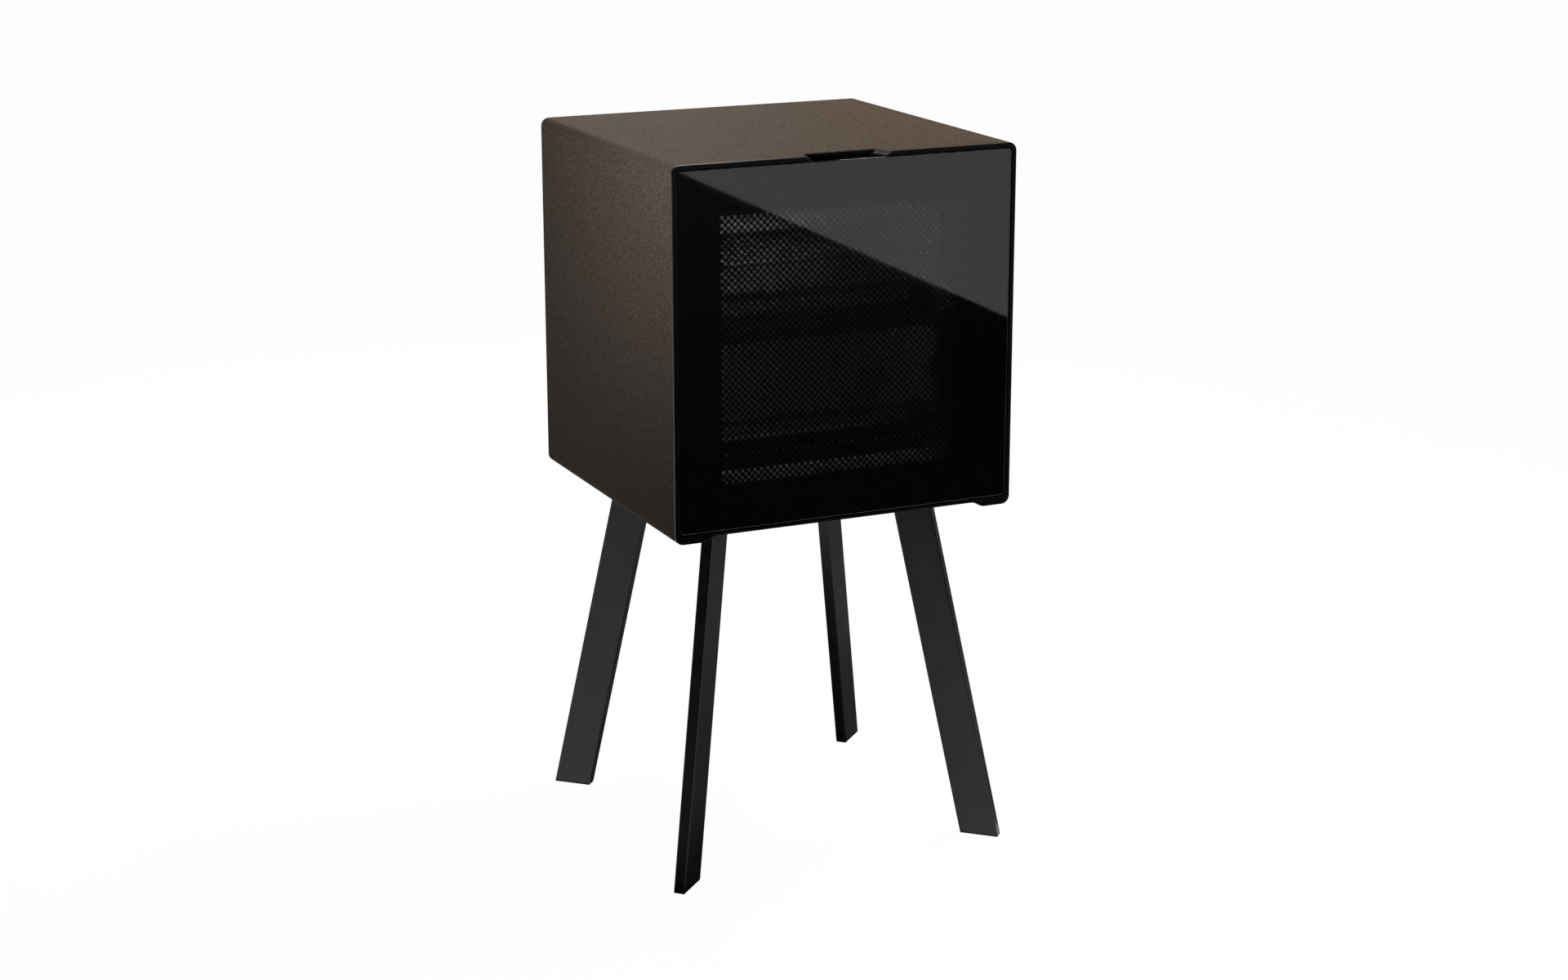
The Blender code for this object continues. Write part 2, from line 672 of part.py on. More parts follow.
def make_inner_trim(material):
    """Ring that holds the inner pane, with two side rails that carry the racks."""
    nose_margin = DOOR_OPENING_MARGIN - REBATE + GAP
    nose_outline = case_rectangle(nose_margin, GLASS_RADIUS)
    trim = front_prism("door_inner_trim", nose_outline, INNER_PANE_BACK + GAP, TRIM_BACK, material)
    flange_outline = case_rectangle(nose_margin - TRIM_FLANGE, GLASS_RADIUS)
    weld(trim, front_prism("trim_flange", flange_outline, DOOR_BACK + GAP, TRIM_BACK))
    opening_outline = case_rectangle(TRIM_OPENING_MARGIN, GLASS_RADIUS)
    cut(trim, front_prism("trim_cutter", opening_outline, INNER_PANE_BACK, TRIM_BACK + OVERCUT))
    rail_low = CASE_BOTTOM + RAIL_TOP_MARGIN
    rail_high = CASE_TOP - RAIL_TOP_MARGIN
    rail_back = TRIM_BACK + RAIL_DEPTH
    for side, sign in (("left", -1), ("right", 1)):
        low_x, high_x = sorted((sign * (RAIL_HALF - RAIL_THICKNESS), sign * RAIL_HALF))
        drop = RAIL_DEPTH / 2
        front = TRIM_BACK - OVERCUT
        profile = [(front, rail_low), (rail_back - drop, rail_low), (rail_back, rail_low + drop)]
        profile += [(rail_back, rail_high - drop), (rail_back - drop, rail_high), (front, rail_high)]
        points = [(low_x, y, z) for y, z in profile]
        weld(trim, prism(f"trim_{side}_rail", points, (high_x - low_x, 0, 0)))
        for level, floor in rack_heights().items():
            boss_end = RAIL_HALF - RAIL_THICKNESS - BOSS_REACH
            boss_x = sorted((sign * boss_end, sign * (RAIL_HALF - OVERCUT)))
            boss_low = floor + BOSS_LIFT
            low = (boss_x[0], boss_span()[0], boss_low)
            high = (boss_x[1], boss_span()[1], boss_low + BOSS_HEIGHT)
            weld(trim, block(f"trim_{side}_{level}_boss", low, high))
    return trim


def make_gasket(material):
    """Magnetic gasket: a wide base on the door and a narrower lip at the seat."""
    outer = HALF_WIDTH - HINGE_X + 2 * GAP
    inner = outer + GASKET_WIDTH
    middle = (DOOR_BACK + SEAT_FRONT) / 2
    gasket = ring("door_gasket", outer, inner, DOOR_BACK + GAP, middle, material)
    lip_back = SEAT_FRONT - GAP
    lip_outline = case_rectangle(outer + GASKET_RIB, GLASS_RADIUS)
    lip = front_prism("gasket_lip", lip_outline, middle - OVERCUT, lip_back)
    bore_outline = case_rectangle(inner, GLASS_RADIUS)
    cut(lip, front_prism("gasket_bore", bore_outline, middle - 2 * OVERCUT, lip_back + OVERCUT))
    weld(gasket, lip)
    return gasket


def rack_outline(inset):
    """Plan of a rack: square to the door, round at its two inner corners."""
    half = RAIL_HALF - RAIL_THICKNESS - RACK_PLAY - inset
    front = TRIM_BACK + GAP + inset
    back = TRIM_BACK + GAP + RACK_DEPTH - inset
    radius = RACK_CORNER - inset
    outline = [(-half, front), (half, front)]
    outline += arc((half - radius, back - radius), radius, 0, 90, 6)
    outline += arc((radius - half, back - radius), radius, 90, 180, 6)
    return outline


def make_rack(level, floor, material):
    """Open tray that hangs on two blocks of the door trim and lifts off."""
    low = floor - RACK_WALL
    high = floor + RACK_RAIL_HEIGHT
    rack = plan_prism(f"{level}_rack", rack_outline(0.0), low, high, material)
    hollow = plan_prism(f"{level}_rack_hollow", rack_outline(RACK_WALL), floor, high + OVERCUT)
    half = RAIL_HALF
    front = TRIM_BACK - OVERCUT
    step = block(
        f"{level}_rack_step",
        (-half, front, floor + RACK_BACK_HEIGHT),
        (half, TRIM_BACK + 2 * RACK_WALL, high + OVERCUT),
    )
    window_low = floor + RACK_BACK_HEIGHT
    window_high = high - RACK_BACK_HEIGHT / 2
    window_half = half - RAIL_THICKNESS - 2 * RACK_CORNER
    back = TRIM_BACK + RACK_DEPTH
    window = block(
        f"{level}_rack_window",
        (-window_half, back - 2 * RACK_WALL, window_low),
        (window_half, back + OVERCUT, window_high),
    )
    cut(rack, hollow, step, window)
    for side, sign in (("left", -1), ("right", 1)):
        xs = sorted((sign * (half - RAIL_THICKNESS - BOSS_REACH - GAP), sign * half))
        slot_low = (xs[0], boss_span()[0] - GAP, low - OVERCUT)
        slot_high = (xs[1], boss_span()[1] + GAP, floor + BOSS_LIFT + BOSS_HEIGHT + GAP)
        cut(rack, block(f"{level}_rack_{side}_slot", slot_low, slot_high))
    return smooth(rack)


def shelf_levels():
    return {"upper": CASE_BOTTOM + UPPER_SHELF_HEIGHT, "lower": CASE_BOTTOM + LOWER_SHELF_HEIGHT}


def make_liner(material):
    """Moulded inner box, open to the front, with ledges for the shelves."""
    outer_margin = LINER_MARGIN - LINER_WALL
    liner = front_prism(
        "cabinet_liner", case_rectangle(outer_margin, LINER_RADIUS), LINER_FRONT, LINER_BACK, material
    )
    flange_outline = case_rectangle(LINER_MARGIN - LINER_FLANGE, LINER_RADIUS)
    weld(liner, front_prism("liner_flange", flange_outline, LINER_FRONT, LINER_FRONT + LINER_WALL))
    cavity_outline = case_rectangle(LINER_MARGIN, LINER_RADIUS)
    cut(liner, front_prism("liner_cutter", cavity_outline, LINER_FRONT - OVERCUT, LINER_BACK - LINER_WALL))
    for level, z in shelf_levels().items():
        for side, sign in (("left", -1), ("right", 1)):
            xs = sorted((sign * (LINER_HALF - LEDGE_DEPTH), sign * (LINER_HALF + LINER_WALL / 2)))
            ledge_top = z - 2 * SHELF_WIRE - GAP
            low = (xs[0], LINER_FRONT + SHELF_FRONT_SPACE - SHELF_WIRE, ledge_top - LEDGE_THICKNESS)
            high = (xs[1], LINER_BACK - LINER_WALL / 2, ledge_top)
            weld(liner, block(f"liner_{level}_{side}_ledge", low, high))
    hole_radius = TUBE_RADIUS + GAP
    start = LINER_BACK - 2 * LINER_WALL
    hole = cylinder(
        "liner_pipe_cutter", (pipe_x(), start, pipe_z()), hole_radius, 3 * LINER_WALL, (0, 1, 0)
    )
    drain = cylinder(
        "liner_drain_cutter", (0, start, drain_z()), DRAIN_RADIUS + GAP, 3 * LINER_WALL, (0, 1, 0)
    )
    cut(liner, hole, drain)
    return smooth(liner)


def pipe_x():
    """The refrigerant pipe passes the back of the case left of the middle."""
    return -COLD_HALF / 2


def pipe_z():
    return COLD_LOW + COLD_HEIGHT / 2


def tray_top():
    return COLD_LOW - TRAY_BELOW


def drain_z():
    return tray_top() - TRAY_HEIGHT / 2


def make_shelf(level, z, material):
    """Wire shelf: a closed outer wire and thin rods from front to back, welded on top."""
    half = LINER_HALF - SHELF_SIDE_PLAY - SHELF_WIRE
    front = LINER_FRONT + SHELF_FRONT_SPACE
    back = LINER_BACK - LINER_WALL - SHELF_BACK_SPACE
    wire_z = z - SHELF_WIRE
    loop = [
        (x, y, wire_z)
        for x, y in rounded_rectangle((-half, front), (half, back), SHELF_CORNER, 3)
    ]
    shelf = rod(f"{level}_shelf", loop, SHELF_WIRE, material, closed=True)
    span = 2 * (half - SHELF_CORNER)
    count = int(span / SHELF_ROD_PITCH) + 1
    pitch = span / (count - 1)
    rods = []
    rod_z = z + SHELF_ROD / 2
    for index in range(count):
        x = -span / 2 + pitch * index
        path = [(x, front - SHELF_WIRE / 2, rod_z), (x, back + SHELF_WIRE / 2, rod_z)]
        rods.append(rod(f"{level}_rod_{index}", path, SHELF_ROD, resolution=1))
    weld(shelf, merged(f"{level}_shelf_rods", rods))
    bar_y = (front + back) / 2
    bar = [(-half, bar_y, wire_z), (half, bar_y, wire_z)]
    weld(shelf, rod(f"{level}_shelf_bar", bar, SHELF_WIRE * 0.8, resolution=2))
    return shelf


def make_cold_plate(material):
    """Cast plate on the back wall with upright cooling fins, drawn as one comb."""
    half = COLD_HALF
    back = COLD_BACK
    face = back - COLD_BASE
    tip = face - FIN_DEPTH
    pitch = (2 * half - FIN_THICKNESS) / (FIN_COUNT - 1)
    outline = [(half, back), (-half, back)]
    for index in range(FIN_COUNT):
        left = -half + pitch * index
        outline += [(left, tip), (left + FIN_THICKNESS, tip)]
        if index < FIN_COUNT - 1:
            outline += [(left + FIN_THICKNESS, face), (left + pitch, face)]
    return plan_prism("cold_plate", outline, COLD_LOW, COLD_LOW + COLD_HEIGHT, material)


def make_drip_tray(material):
    half = COLD_HALF + TRAY_OVERHANG
    back = COLD_BACK
    front = back - TRAY_DEPTH
    high = tray_top()
    low = high - TRAY_HEIGHT
    tray = block("drip_tray", (-half, front, low), (half, back, high), material)
    wall = TRAY_WALL
    hollow = block(
        "drip_tray_hollow",
        (-half + wall, front + wall, low + wall),
        (half - wall, back - wall, high + OVERCUT),
    )
    start = (0, back - 2 * wall, drain_z())
    cut(tray, hollow, cylinder("drip_tray_drain", start, DRAIN_RADIUS / 2, 3 * wall, (0, 1, 0)))
    return tray


def make_foam(material):
    """Insulation between the shell and the liner."""
    low = BASE_TOP + GAP
    outline = rounded_rectangle((-INNER_HALF, low), (INNER_HALF, INNER_TOP), CORNER_RADIUS)
    front = SEAT_BACK + GAP + LINER_WALL + GAP
    foam = front_prism("insulation_foam", outline, front, FOAM_REAR, material)
    liner_outline = case_rectangle(LINER_MARGIN - LINER_WALL - GAP, LINER_RADIUS)
    cavity = front_prism("foam_liner_cutter", liner_outline, front - OVERCUT, LINER_BACK + GAP)
    pads = [pad_cutter(side, sign) for side, sign in (("left", -1), ("right", 1))]
    cut(foam, cavity, *pads)
    depth = FOAM_BACK + 2 * OVERCUT
    start = LINER_BACK - OVERCUT
    pipe_start = (pipe_x(), start, pipe_z())
    cut(foam, cylinder("foam_pipe_cutter", pipe_start, TUBE_RADIUS + GAP, depth, (0, 1, 0)))
    cut(foam, cylinder("foam_drain_cutter", (0, start, drain_z()), DRAIN_RADIUS + GAP, depth, (0, 1, 0)))
    for name, x, y in leg_tops():
        half = BOLT_OFFSET + NUT_RADIUS
        pocket = block(
            f"foam_{name}_pocket",
            (x - half, y - half, low - OVERCUT),
            (x + half, y + half, BASE_TOP + NUT_HEIGHT + OVERCUT),
        )
        cut(foam, pocket)
    return smooth(foam)


def pad_cutter(side, sign):
    """Space of the base plate's stepped edge, taken out of the foam's lower edges."""
    inner = HALF_WIDTH - PAD_WIDTH - BASE_STEP - GAP
    xs = sorted((sign * inner, sign * (HALF_WIDTH + OVERCUT)))
    low = (xs[0], SEAT_BACK, CASE_BOTTOM)
    high = (xs[1], FOAM_REAR + OVERCUT, BASE_TOP + GAP)
    return block(f"foam_{side}_step_cutter", low, high)


def leg_corners():
    return (("front_left", -1, -1), ("front_right", 1, -1), ("back_left", -1, 1), ("back_right", 1, 1))


def leg_direction(sign_x, sign_y):
    return Vector((sign_x * math.cos(LEG_SPREAD), sign_y * math.sin(LEG_SPREAD), 0))


def leg_tops():
    tops = []
    for name, sign_x, sign_y in leg_corners():
        centre = leg_direction(sign_x, sign_y) * leg_radius(LEG_PLATE_TOP)
        tops.append((name, centre.x, centre.y))
    return tops


def leg_radius(z):
    """Distance of the leg's middle line from the centre of the case at one height."""
    return LEG_FOOT_RADIUS - LEG_SPLAY * z


def bolt_places(sign_x, sign_y):
    along = leg_direction(sign_x, sign_y)
    across = Vector((-along.y, along.x, 0))
    centre = along * leg_radius(LEG_PLATE_TOP)
    return [centre + across * BOLT_OFFSET, centre - across * BOLT_OFFSET]


def make_base_plate(material):
    """Steel floor of the case: it lies on the returns and steps up between them."""
    pad = HALF_WIDTH - PAD_WIDTH
    lowest = CASE_BOTTOM + SHELL_THICKNESS + GAP
    raised = CASE_BOTTOM + UNDERCUT
    edge = HALF_WIDTH - CORNER_RADIUS
    lower = [(-edge, lowest), (-pad, lowest), (-pad + BASE_STEP, raised)]
    lower += [(pad - BASE_STEP, raised), (pad, lowest), (edge, lowest)]
    upper = [(x, z + SHEET) for x, z in reversed(lower)]
    front = SEAT_BACK + GAP
    plate = front_prism("base_plate", lower + upper, front, COVER_BACK - COVER_FLANGE - GAP, material)
    nuts = []
    for name, sign_x, sign_y in leg_corners():
        for index, place in enumerate(bolt_places(sign_x, sign_y)):
            start = (place.x, place.y, BASE_TOP - SHEET / 2)
            nuts.append(
                cylinder(f"{name}_nut_{index}", start, NUT_RADIUS, NUT_HEIGHT + SHEET / 2, UP, sides=6)
            )
    weld(plate, merged("base_weld_nuts", nuts))
    holes = []
    for name, sign_x, sign_y in leg_corners():
        for index, place in enumerate(bolt_places(sign_x, sign_y)):
            start = (place.x, place.y, CASE_BOTTOM)
            reach = UNDERCUT + SHEET + NUT_HEIGHT + OVERCUT
            holes.append(
                cylinder(f"{name}_hole_{index}", start, BOLT_RADIUS + GAP, reach, UP, sides=BOLT_SIDES)
            )
    cut(plate, merged("base_bolt_holes", holes))
    return plate


def leg_section(sign_x, sign_y, z, margin):
    """Level section through a leg; the tube leans in its own vertical plane."""
    along = leg_direction(sign_x, sign_y)
    across = Vector((-along.y, along.x, 0))
    centre = along * leg_radius(z)
    half_length = LEG_WIDTH / math.cos(math.atan(LEG_SPLAY)) / 2 - margin
    half_width = LEG_THICKNESS / 2 - margin
    corners = []
    for a, b in ((-1, -1), (1, -1), (1, 1), (-1, 1)):
        point = centre + along * (a * half_length) + across * (b * half_width)
        corners.append(Vector((point.x, point.y, z)))
    return corners


def leg_prism(name, sign_x, sign_y, z_low, z_high, margin, material=None):
    bm = bmesh.new()
    low = [bm.verts.new(point) for point in leg_section(sign_x, sign_y, z_low, margin)]
    high = [bm.verts.new(point) for point in leg_section(sign_x, sign_y, z_high, margin)]
    bm.faces.new(low)
    bm.faces.new(high)
    for index in range(4):
        after = (index + 1) % 4
        bm.faces.new((low[index], low[after], high[after], high[index]))
    return new_object(name, mesh_from(name, bm), material)


def make_leg(name, sign_x, sign_y, material):
    """Flat tube, cut level at both ends and welded to its mounting plate."""
    node = f"{name}_leg"
    foot = GLIDE_SOLE + GAP
    leg = leg_prism(node, sign_x, sign_y, foot, LEG_PLATE_BOTTOM + LEG_PLATE_THICKNESS / 2, 0.0, material)
    round_marked_edges(leg, LEG_WALL, along_leg)
    along = leg_direction(sign_x, sign_y)
    across = Vector((-along.y, along.x, 0))
    centre = along * leg_radius(LEG_PLATE_TOP)
    corners = []
    for a, b in ((-1, -1), (1, -1), (1, 1), (-1, 1)):
        point = centre + along * (a * LEG_PLATE_LENGTH / 2) + across * (b * LEG_PLATE_WIDTH / 2)
        corners.append((point.x, point.y))
    plate = plan_prism(f"{name}_plate", corners, LEG_PLATE_BOTTOM, LEG_PLATE_TOP)
    weld(leg, plate)
    cut(leg, leg_prism(f"{name}_bore", sign_x, sign_y, foot - OVERCUT, LEG_PLATE_BOTTOM, LEG_WALL))
    for index, place in enumerate(bolt_places(sign_x, sign_y)):
        start = (place.x, place.y, LEG_PLATE_BOTTOM - OVERCUT)
        length = LEG_PLATE_THICKNESS + 2 * OVERCUT
        hole = f"{name}_plate_hole_{index}"
        cut(leg, cylinder(hole, start, BOLT_RADIUS + GAP, length, UP, sides=BOLT_SIDES))
    return smooth(leg)


def make_glide(name, sign_x, sign_y, material):
    """Plastic foot: a thin sole under the tube and a plug inside it."""
    glide = leg_prism(f"{name}_glide", sign_x, sign_y, 0.0, GLIDE_SOLE, LEG_WALL / 3, material)
    plug_margin = LEG_WALL + GAP
    plug_top = GLIDE_SOLE + GLIDE_PLUG
    weld(glide, leg_prism(f"{name}_plug", sign_x, sign_y, GLIDE_SOLE / 2, plug_top, plug_margin))
    return glide


def make_bolt(node, place, material):
    head_top = LEG_PLATE_BOTTOM - GAP
    end = BASE_TOP + NUT_HEIGHT - head_top
    profile = [(0, -BOLT_HEAD), (BOLT_HEAD_RADIUS * 0.7, -BOLT_HEAD), (BOLT_HEAD_RADIUS, -BOLT_HEAD * 0.4)]
    profile += [(BOLT_HEAD_RADIUS, 0), (BOLT_RADIUS, 0), (BOLT_RADIUS, end), (0, end)]
    return turned(node, profile, (place.x, place.y, head_top), UP, material, sides=BOLT_SIDES)


def make_legs(materials):
    for name, sign_x, sign_y in leg_corners():
        make_leg(name, sign_x, sign_y, materials["leg_paint"])
        make_glide(name, sign_x, sign_y, materials["glide_plastic"])
        for index, place in enumerate(bolt_places(sign_x, sign_y)):
            make_bolt(f"{name}_leg_bolt_{index + 1}", place, materials["hinge_steel"])


def make_rear_panel(material):
    """Sheet behind the foam that carries the cooling unit."""
    low = BASE_TOP + NUT_HEIGHT + 2 * OVERCUT
    front = FOAM_REAR + GAP
    panel = block("rear_panel", (-INNER_HALF, front, low), (INNER_HALF, PANEL_BACK, INNER_TOP), material)
    start = front - OVERCUT
    reach = SHEET + 2 * OVERCUT
    pipe_start = (pipe_x(), start, pipe_z())
    cut(panel, cylinder("panel_pipe_cutter", pipe_start, TUBE_RADIUS + GAP, reach, (0, 1, 0)))
    cut(panel, cylinder("panel_drain_cutter", (0, start, drain_z()), DRAIN_RADIUS + GAP, reach, (0, 1, 0)))
    for side, sign in (("left", -1), ("right", 1)):
        xs = sorted((sign * (INNER_HALF - CORNER_RADIUS), sign * (INNER_HALF + OVERCUT)))
        corner = block(
            f"panel_{side}_corner_cutter",
            (xs[0], start, INNER_TOP - CORNER_RADIUS),
            (xs[1], start + reach, INNER_TOP + OVERCUT),
        )
        cut(panel, corner)
    return panel


def slot_fields():
    low = BASE_TOP + SLOT_FIELD_MARGIN + BOX_HEIGHT
    high = INNER_TOP - SLOT_FIELD_MARGIN - SLOT_PITCH_Z * SLOT_ROWS
    return (low, high)


def make_rear_cover(material):
    """Vented pan that closes the back, with two fields of air slots."""
    low = BASE_TOP + GAP
    outline = rounded_rectangle((-INNER_HALF, low), (INNER_HALF, INNER_TOP), CORNER_RADIUS)
    front = COVER_BACK - COVER_FLANGE
    cover = front_prism("rear_cover", outline, front, COVER_BACK, material)
    inner = rounded_rectangle(
        (-INNER_HALF + SHEET, low + SHEET), (INNER_HALF - SHEET, INNER_TOP - SHEET), CORNER_RADIUS - SHEET
    )
    cut(cover, front_prism("rear_cover_hollow", inner, front - OVERCUT, COVER_BACK - SHEET))
    slots = []
    for bottom in slot_fields():
        for row in range(SLOT_ROWS):
            for column in range(SLOT_COLUMNS):
                x = (column - (SLOT_COLUMNS - 1) / 2) * SLOT_PITCH_X
                z = bottom + row * SLOT_PITCH_Z
                ends = rounded_rectangle(
                    (x - SLOT_LENGTH / 2, z), (x + SLOT_LENGTH / 2, z + SLOT_HEIGHT), SLOT_HEIGHT / 3, 1
                )
                slots.append(
                    front_prism("slot", ends, COVER_BACK - SHEET - OVERCUT, COVER_BACK + OVERCUT)
                )
    cut(cover, merged("rear_cover_slots", slots))
    for name, x, z in cover_screw_places():
        start = (x, COVER_BACK - SHEET - OVERCUT, z)
        reach = SHEET + 2 * OVERCUT
        cut(cover, cylinder(f"{name}_hole", start, SCREW_RADIUS + GAP, reach, (0, 1, 0), sides=BOLT_SIDES))
    low_corner, high_corner = inlet_box()
    opening = block(
        "cover_inlet_cutter",
        (low_corner[0] - GAP, COVER_BACK - SHEET - OVERCUT, low_corner[1] - GAP),
        (high_corner[0] + GAP, COVER_BACK + OVERCUT, high_corner[1] + GAP),
    )
    cut(cover, opening)
    return smooth(cover)


def cover_screw_places():
    x = HALF_WIDTH - LINER_MARGIN / 2
    low = BASE_TOP + LINER_MARGIN / 2
    high = INNER_TOP - LINER_MARGIN / 2
    return (
        ("cover_screw_1", -x, low),
        ("cover_screw_2", x, low),
        ("cover_screw_3", -x, high),
        ("cover_screw_4", x, high),
    )


def make_cover_screws(material):
    for name, x, z in cover_screw_places():
        length = COVER_FLANGE
        profile = [(0, -SCREW_HEAD), (SCREW_HEAD_RADIUS * 0.6, -SCREW_HEAD)]
        profile.append((SCREW_HEAD_RADIUS, -SCREW_HEAD * 0.3))
        profile += [(SCREW_HEAD_RADIUS, 0), (SCREW_RADIUS, 0), (SCREW_RADIUS, length), (0, length)]
        turned(name, profile, (x, COVER_BACK + GAP, z), (0, -1, 0), material, sides=BOLT_SIDES)


def box_corner():
    """Lower left corner of the control box, seen from the front."""
    return -INNER_HALF + LINER_MARGIN / 2 + SCREW_HEAD_RADIUS * 2, BASE_TOP + LINER_MARGIN / 2


def inlet_box():
    x, z = box_corner()
    centre_x = x + BOX_WIDTH / 2
    centre_z = z + BOX_HEIGHT / 2
    low = (centre_x - INLET_WIDTH / 2, centre_z - INLET_HEIGHT / 2)
    high = (centre_x + INLET_WIDTH / 2, centre_z + INLET_HEIGHT / 2)
    return low, high


def make_control_box(material):
    x, z = box_corner()
    back = COVER_BACK - SHEET - GAP
    front = back - BOX_DEPTH
    box = block("control_box", (x, front, z), (x + BOX_WIDTH, back, z + BOX_HEIGHT), material)
    edges = box.modifiers.new("moulded_edges", "BEVEL")
    edges.width = OVERCUT
    edges.segments = 2
    low, high = inlet_box()
    pocket = block(
        "control_box_pocket",
        (low[0] - GAP, back - INLET_DEPTH - INLET_WALL - GAP, low[1] - GAP),
        (high[0] + GAP, back + OVERCUT, high[1] + GAP),
    )
    cut(box, pocket)
    return box


def make_power_inlet(material):
    """Appliance inlet with three flat pins in a recess that opens to the back."""
    low, high = inlet_box()
    back = COVER_BACK
    floor = back - INLET_DEPTH
    inlet = block("power_inlet", (low[0], floor - INLET_WALL, low[1]), (high[0], back, high[1]), material)
    cut(
        inlet,
        block(
            "inlet_recess",
            (low[0] + INLET_WALL, floor, low[1] + INLET_WALL),
            (high[0] - INLET_WALL, back + OVERCUT, high[1] - INLET_WALL),
        ),
    )
    middle = (low[0] + high[0]) / 2
    pin_z = low[1] + INLET_HEIGHT * 0.3
    for index in (-1, 0, 1):
        x = middle + index * INLET_WIDTH / 4
        lift = INLET_PIN if index == 0 else 0.0
        pin_low = (x - INLET_PIN / 2, floor - OVERCUT, pin_z + lift)
        pin_high = (x + INLET_PIN / 2, floor + INLET_DEPTH * 0.6, pin_z + lift + 2 * INLET_PIN)
        weld(inlet, block(f"inlet_pin_{index + 2}", pin_low, pin_high))
    return inlet


def tank_centre_z():
    return BASE_TOP + TANK_HEIGHT


def tank_span():
    """The tank fills the width between the control box and the boiler."""
    left = box_corner()[0] + BOX_WIDTH + TANK_SPACE
    right = BOILER_X - BOILER_RADIUS - TUBE_RADIUS * 3
    return left, right


def make_absorber_tank(material):
    left, right = tank_span()
    length = right - left
    dome = TANK_RADIUS * 0.35
    shoulder = TANK_RADIUS * 0.6
    profile = [(0, 0), (shoulder, dome / 4), (TANK_RADIUS, dome), (TANK_RADIUS, length - dome)]
    profile += [(shoulder, length - dome / 4), (0, length)]
    return turned("absorber_tank", profile, (left, UNIT_Y, tank_centre_z()), (1, 0, 0), material, sides=20)


def boiler_low():
    return BASE_TOP + BOILER_LIFT


def condenser_high():
    return INNER_TOP - CONDENSER_DROP


def make_boiler(materials):
    low = boiler_low()
    radius = BOILER_RADIUS
    cap = radius * 0.2
    profile = [(0, 0), (radius - cap, 0), (radius, cap), (radius, BOILER_HEIGHT - cap)]
    profile += [(radius - cap, BOILER_HEIGHT), (0, BOILER_HEIGHT)]
    centre = (BOILER_X, UNIT_Y, low)
    turned("boiler_jacket", profile, centre, (0, 0, 1), materials["zinc_sheet"], sides=20)
    heater_x = BOILER_X + radius / 2
    heater = (heater_x, UNIT_Y, low - GAP)
    down = (0, 0, -1)
    cylinder("heater_cartridge", heater, HEATER_RADIUS, HEATER_LENGTH, down, materials["hinge_steel"])
    _, tank_right = tank_span()
    tank_z = tank_centre_z()
    path = [
        (tank_right + GAP, UNIT_Y, tank_z),
        (BOILER_X - radius / 2, UNIT_Y, tank_z),
        (BOILER_X - radius / 2, UNIT_Y, low - GAP),
    ]
    bend = TUBE_RADIUS * 1.2
    rod("boiler_feed_pipe", rounded_path(path, bend), TUBE_RADIUS * 0.7, materials["unit_steel"])


def make_condenser(material):
    """Finned pipe that falls from the boiler's side to the cold plate's pipe."""
    boiler_top = boiler_low() + BOILER_HEIGHT + GAP
    high = condenser_high()
    left = CONDENSER_SIDE_SPACE - HALF_WIDTH
    path = [
        (BOILER_X, UNIT_Y, boiler_top),
        (BOILER_X, UNIT_Y, high),
        (left, UNIT_Y, high - CONDENSER_FALL),
        (left, UNIT_Y, pipe_z()),
        (pipe_x(), UNIT_Y, pipe_z()),
        (pipe_x(), COLD_BACK + GAP, pipe_z()),
    ]
    pipe = rod("condenser", rounded_path(path, TUBE_RADIUS * 2.5, 5), TUBE_RADIUS, material)
    run = BOILER_X - left - 8 * TUBE_RADIUS
    pitch = run / (CONDENSER_FIN_COUNT - 1)
    fins = []
    half = CONDENSER_FIN / 2
    for index in range(CONDENSER_FIN_COUNT):
        x = left + 4 * TUBE_RADIUS + pitch * index
        share = (x - left) / (BOILER_X - left)
        z = high - CONDENSER_FALL * (1 - share)
        low = (x, UNIT_Y - half, z - half)
        top = (x + CONDENSER_FIN_THICKNESS, UNIT_Y + half, z + half)
        fins.append(block("fin", low, top))
    weld(pipe, merged("condenser_fins", fins))
    return pipe


def make_absorber_coil(material):
    """Serpentine pipe that climbs from the tank in level passes."""
    left, right = tank_span()
    low = tank_centre_z() + TANK_RADIUS + GAP
    centre = (left + right) / 2
    half = (right - left) / 2 - 2 * TUBE_RADIUS
    start_z = low + COIL_PITCH * 0.6
    path = [(centre - half, UNIT_Y, low), (centre - half, UNIT_Y, start_z)]
    for index in range(COIL_PASSES):
        z = start_z + index * COIL_PITCH
        toward = 1 if index % 2 == 0 else -1
        path.append((centre + toward * half, UNIT_Y, z))
        if index < COIL_PASSES - 1:
            path.append((centre + toward * half, UNIT_Y, z + COIL_PITCH))
    return rod("absorber_coil", rounded_path(path, COIL_PITCH * 0.45, 5), TUBE_RADIUS, material)


def make_unit_brackets(material):
    """Two bent straps that hold the tank and the boiler on the rear panel."""
    left, right = tank_span()
    places = (
        ("tank_bracket", (left + right) / 2, tank_centre_z(), TANK_RADIUS),
        ("boiler_bracket", BOILER_X, boiler_low() + BOILER_HEIGHT * 0.7, BOILER_RADIUS),
    )
    for name, x, z, radius in places:
        half = radius * 0.6
        front = PANEL_BACK + GAP
        back = UNIT_Y - radius - GAP
        block(name, (x - half, front, z - half), (x + half, back, z + half), material)


def make_drain_tube(material):
    front = LINER_BACK - LINER_WALL + GAP
    back = UNIT_Y - TUBE_RADIUS * 2
    path = [(0, front, drain_z()), (0, back, drain_z()), (0, back, drain_z() - 4 * DRAIN_RADIUS)]
    return rod("drain_tube", rounded_path(path, 2 * DRAIN_RADIUS), DRAIN_RADIUS, material)


def housing_front():
    return LINER_FRONT + HOUSING_FRONT_SPACE


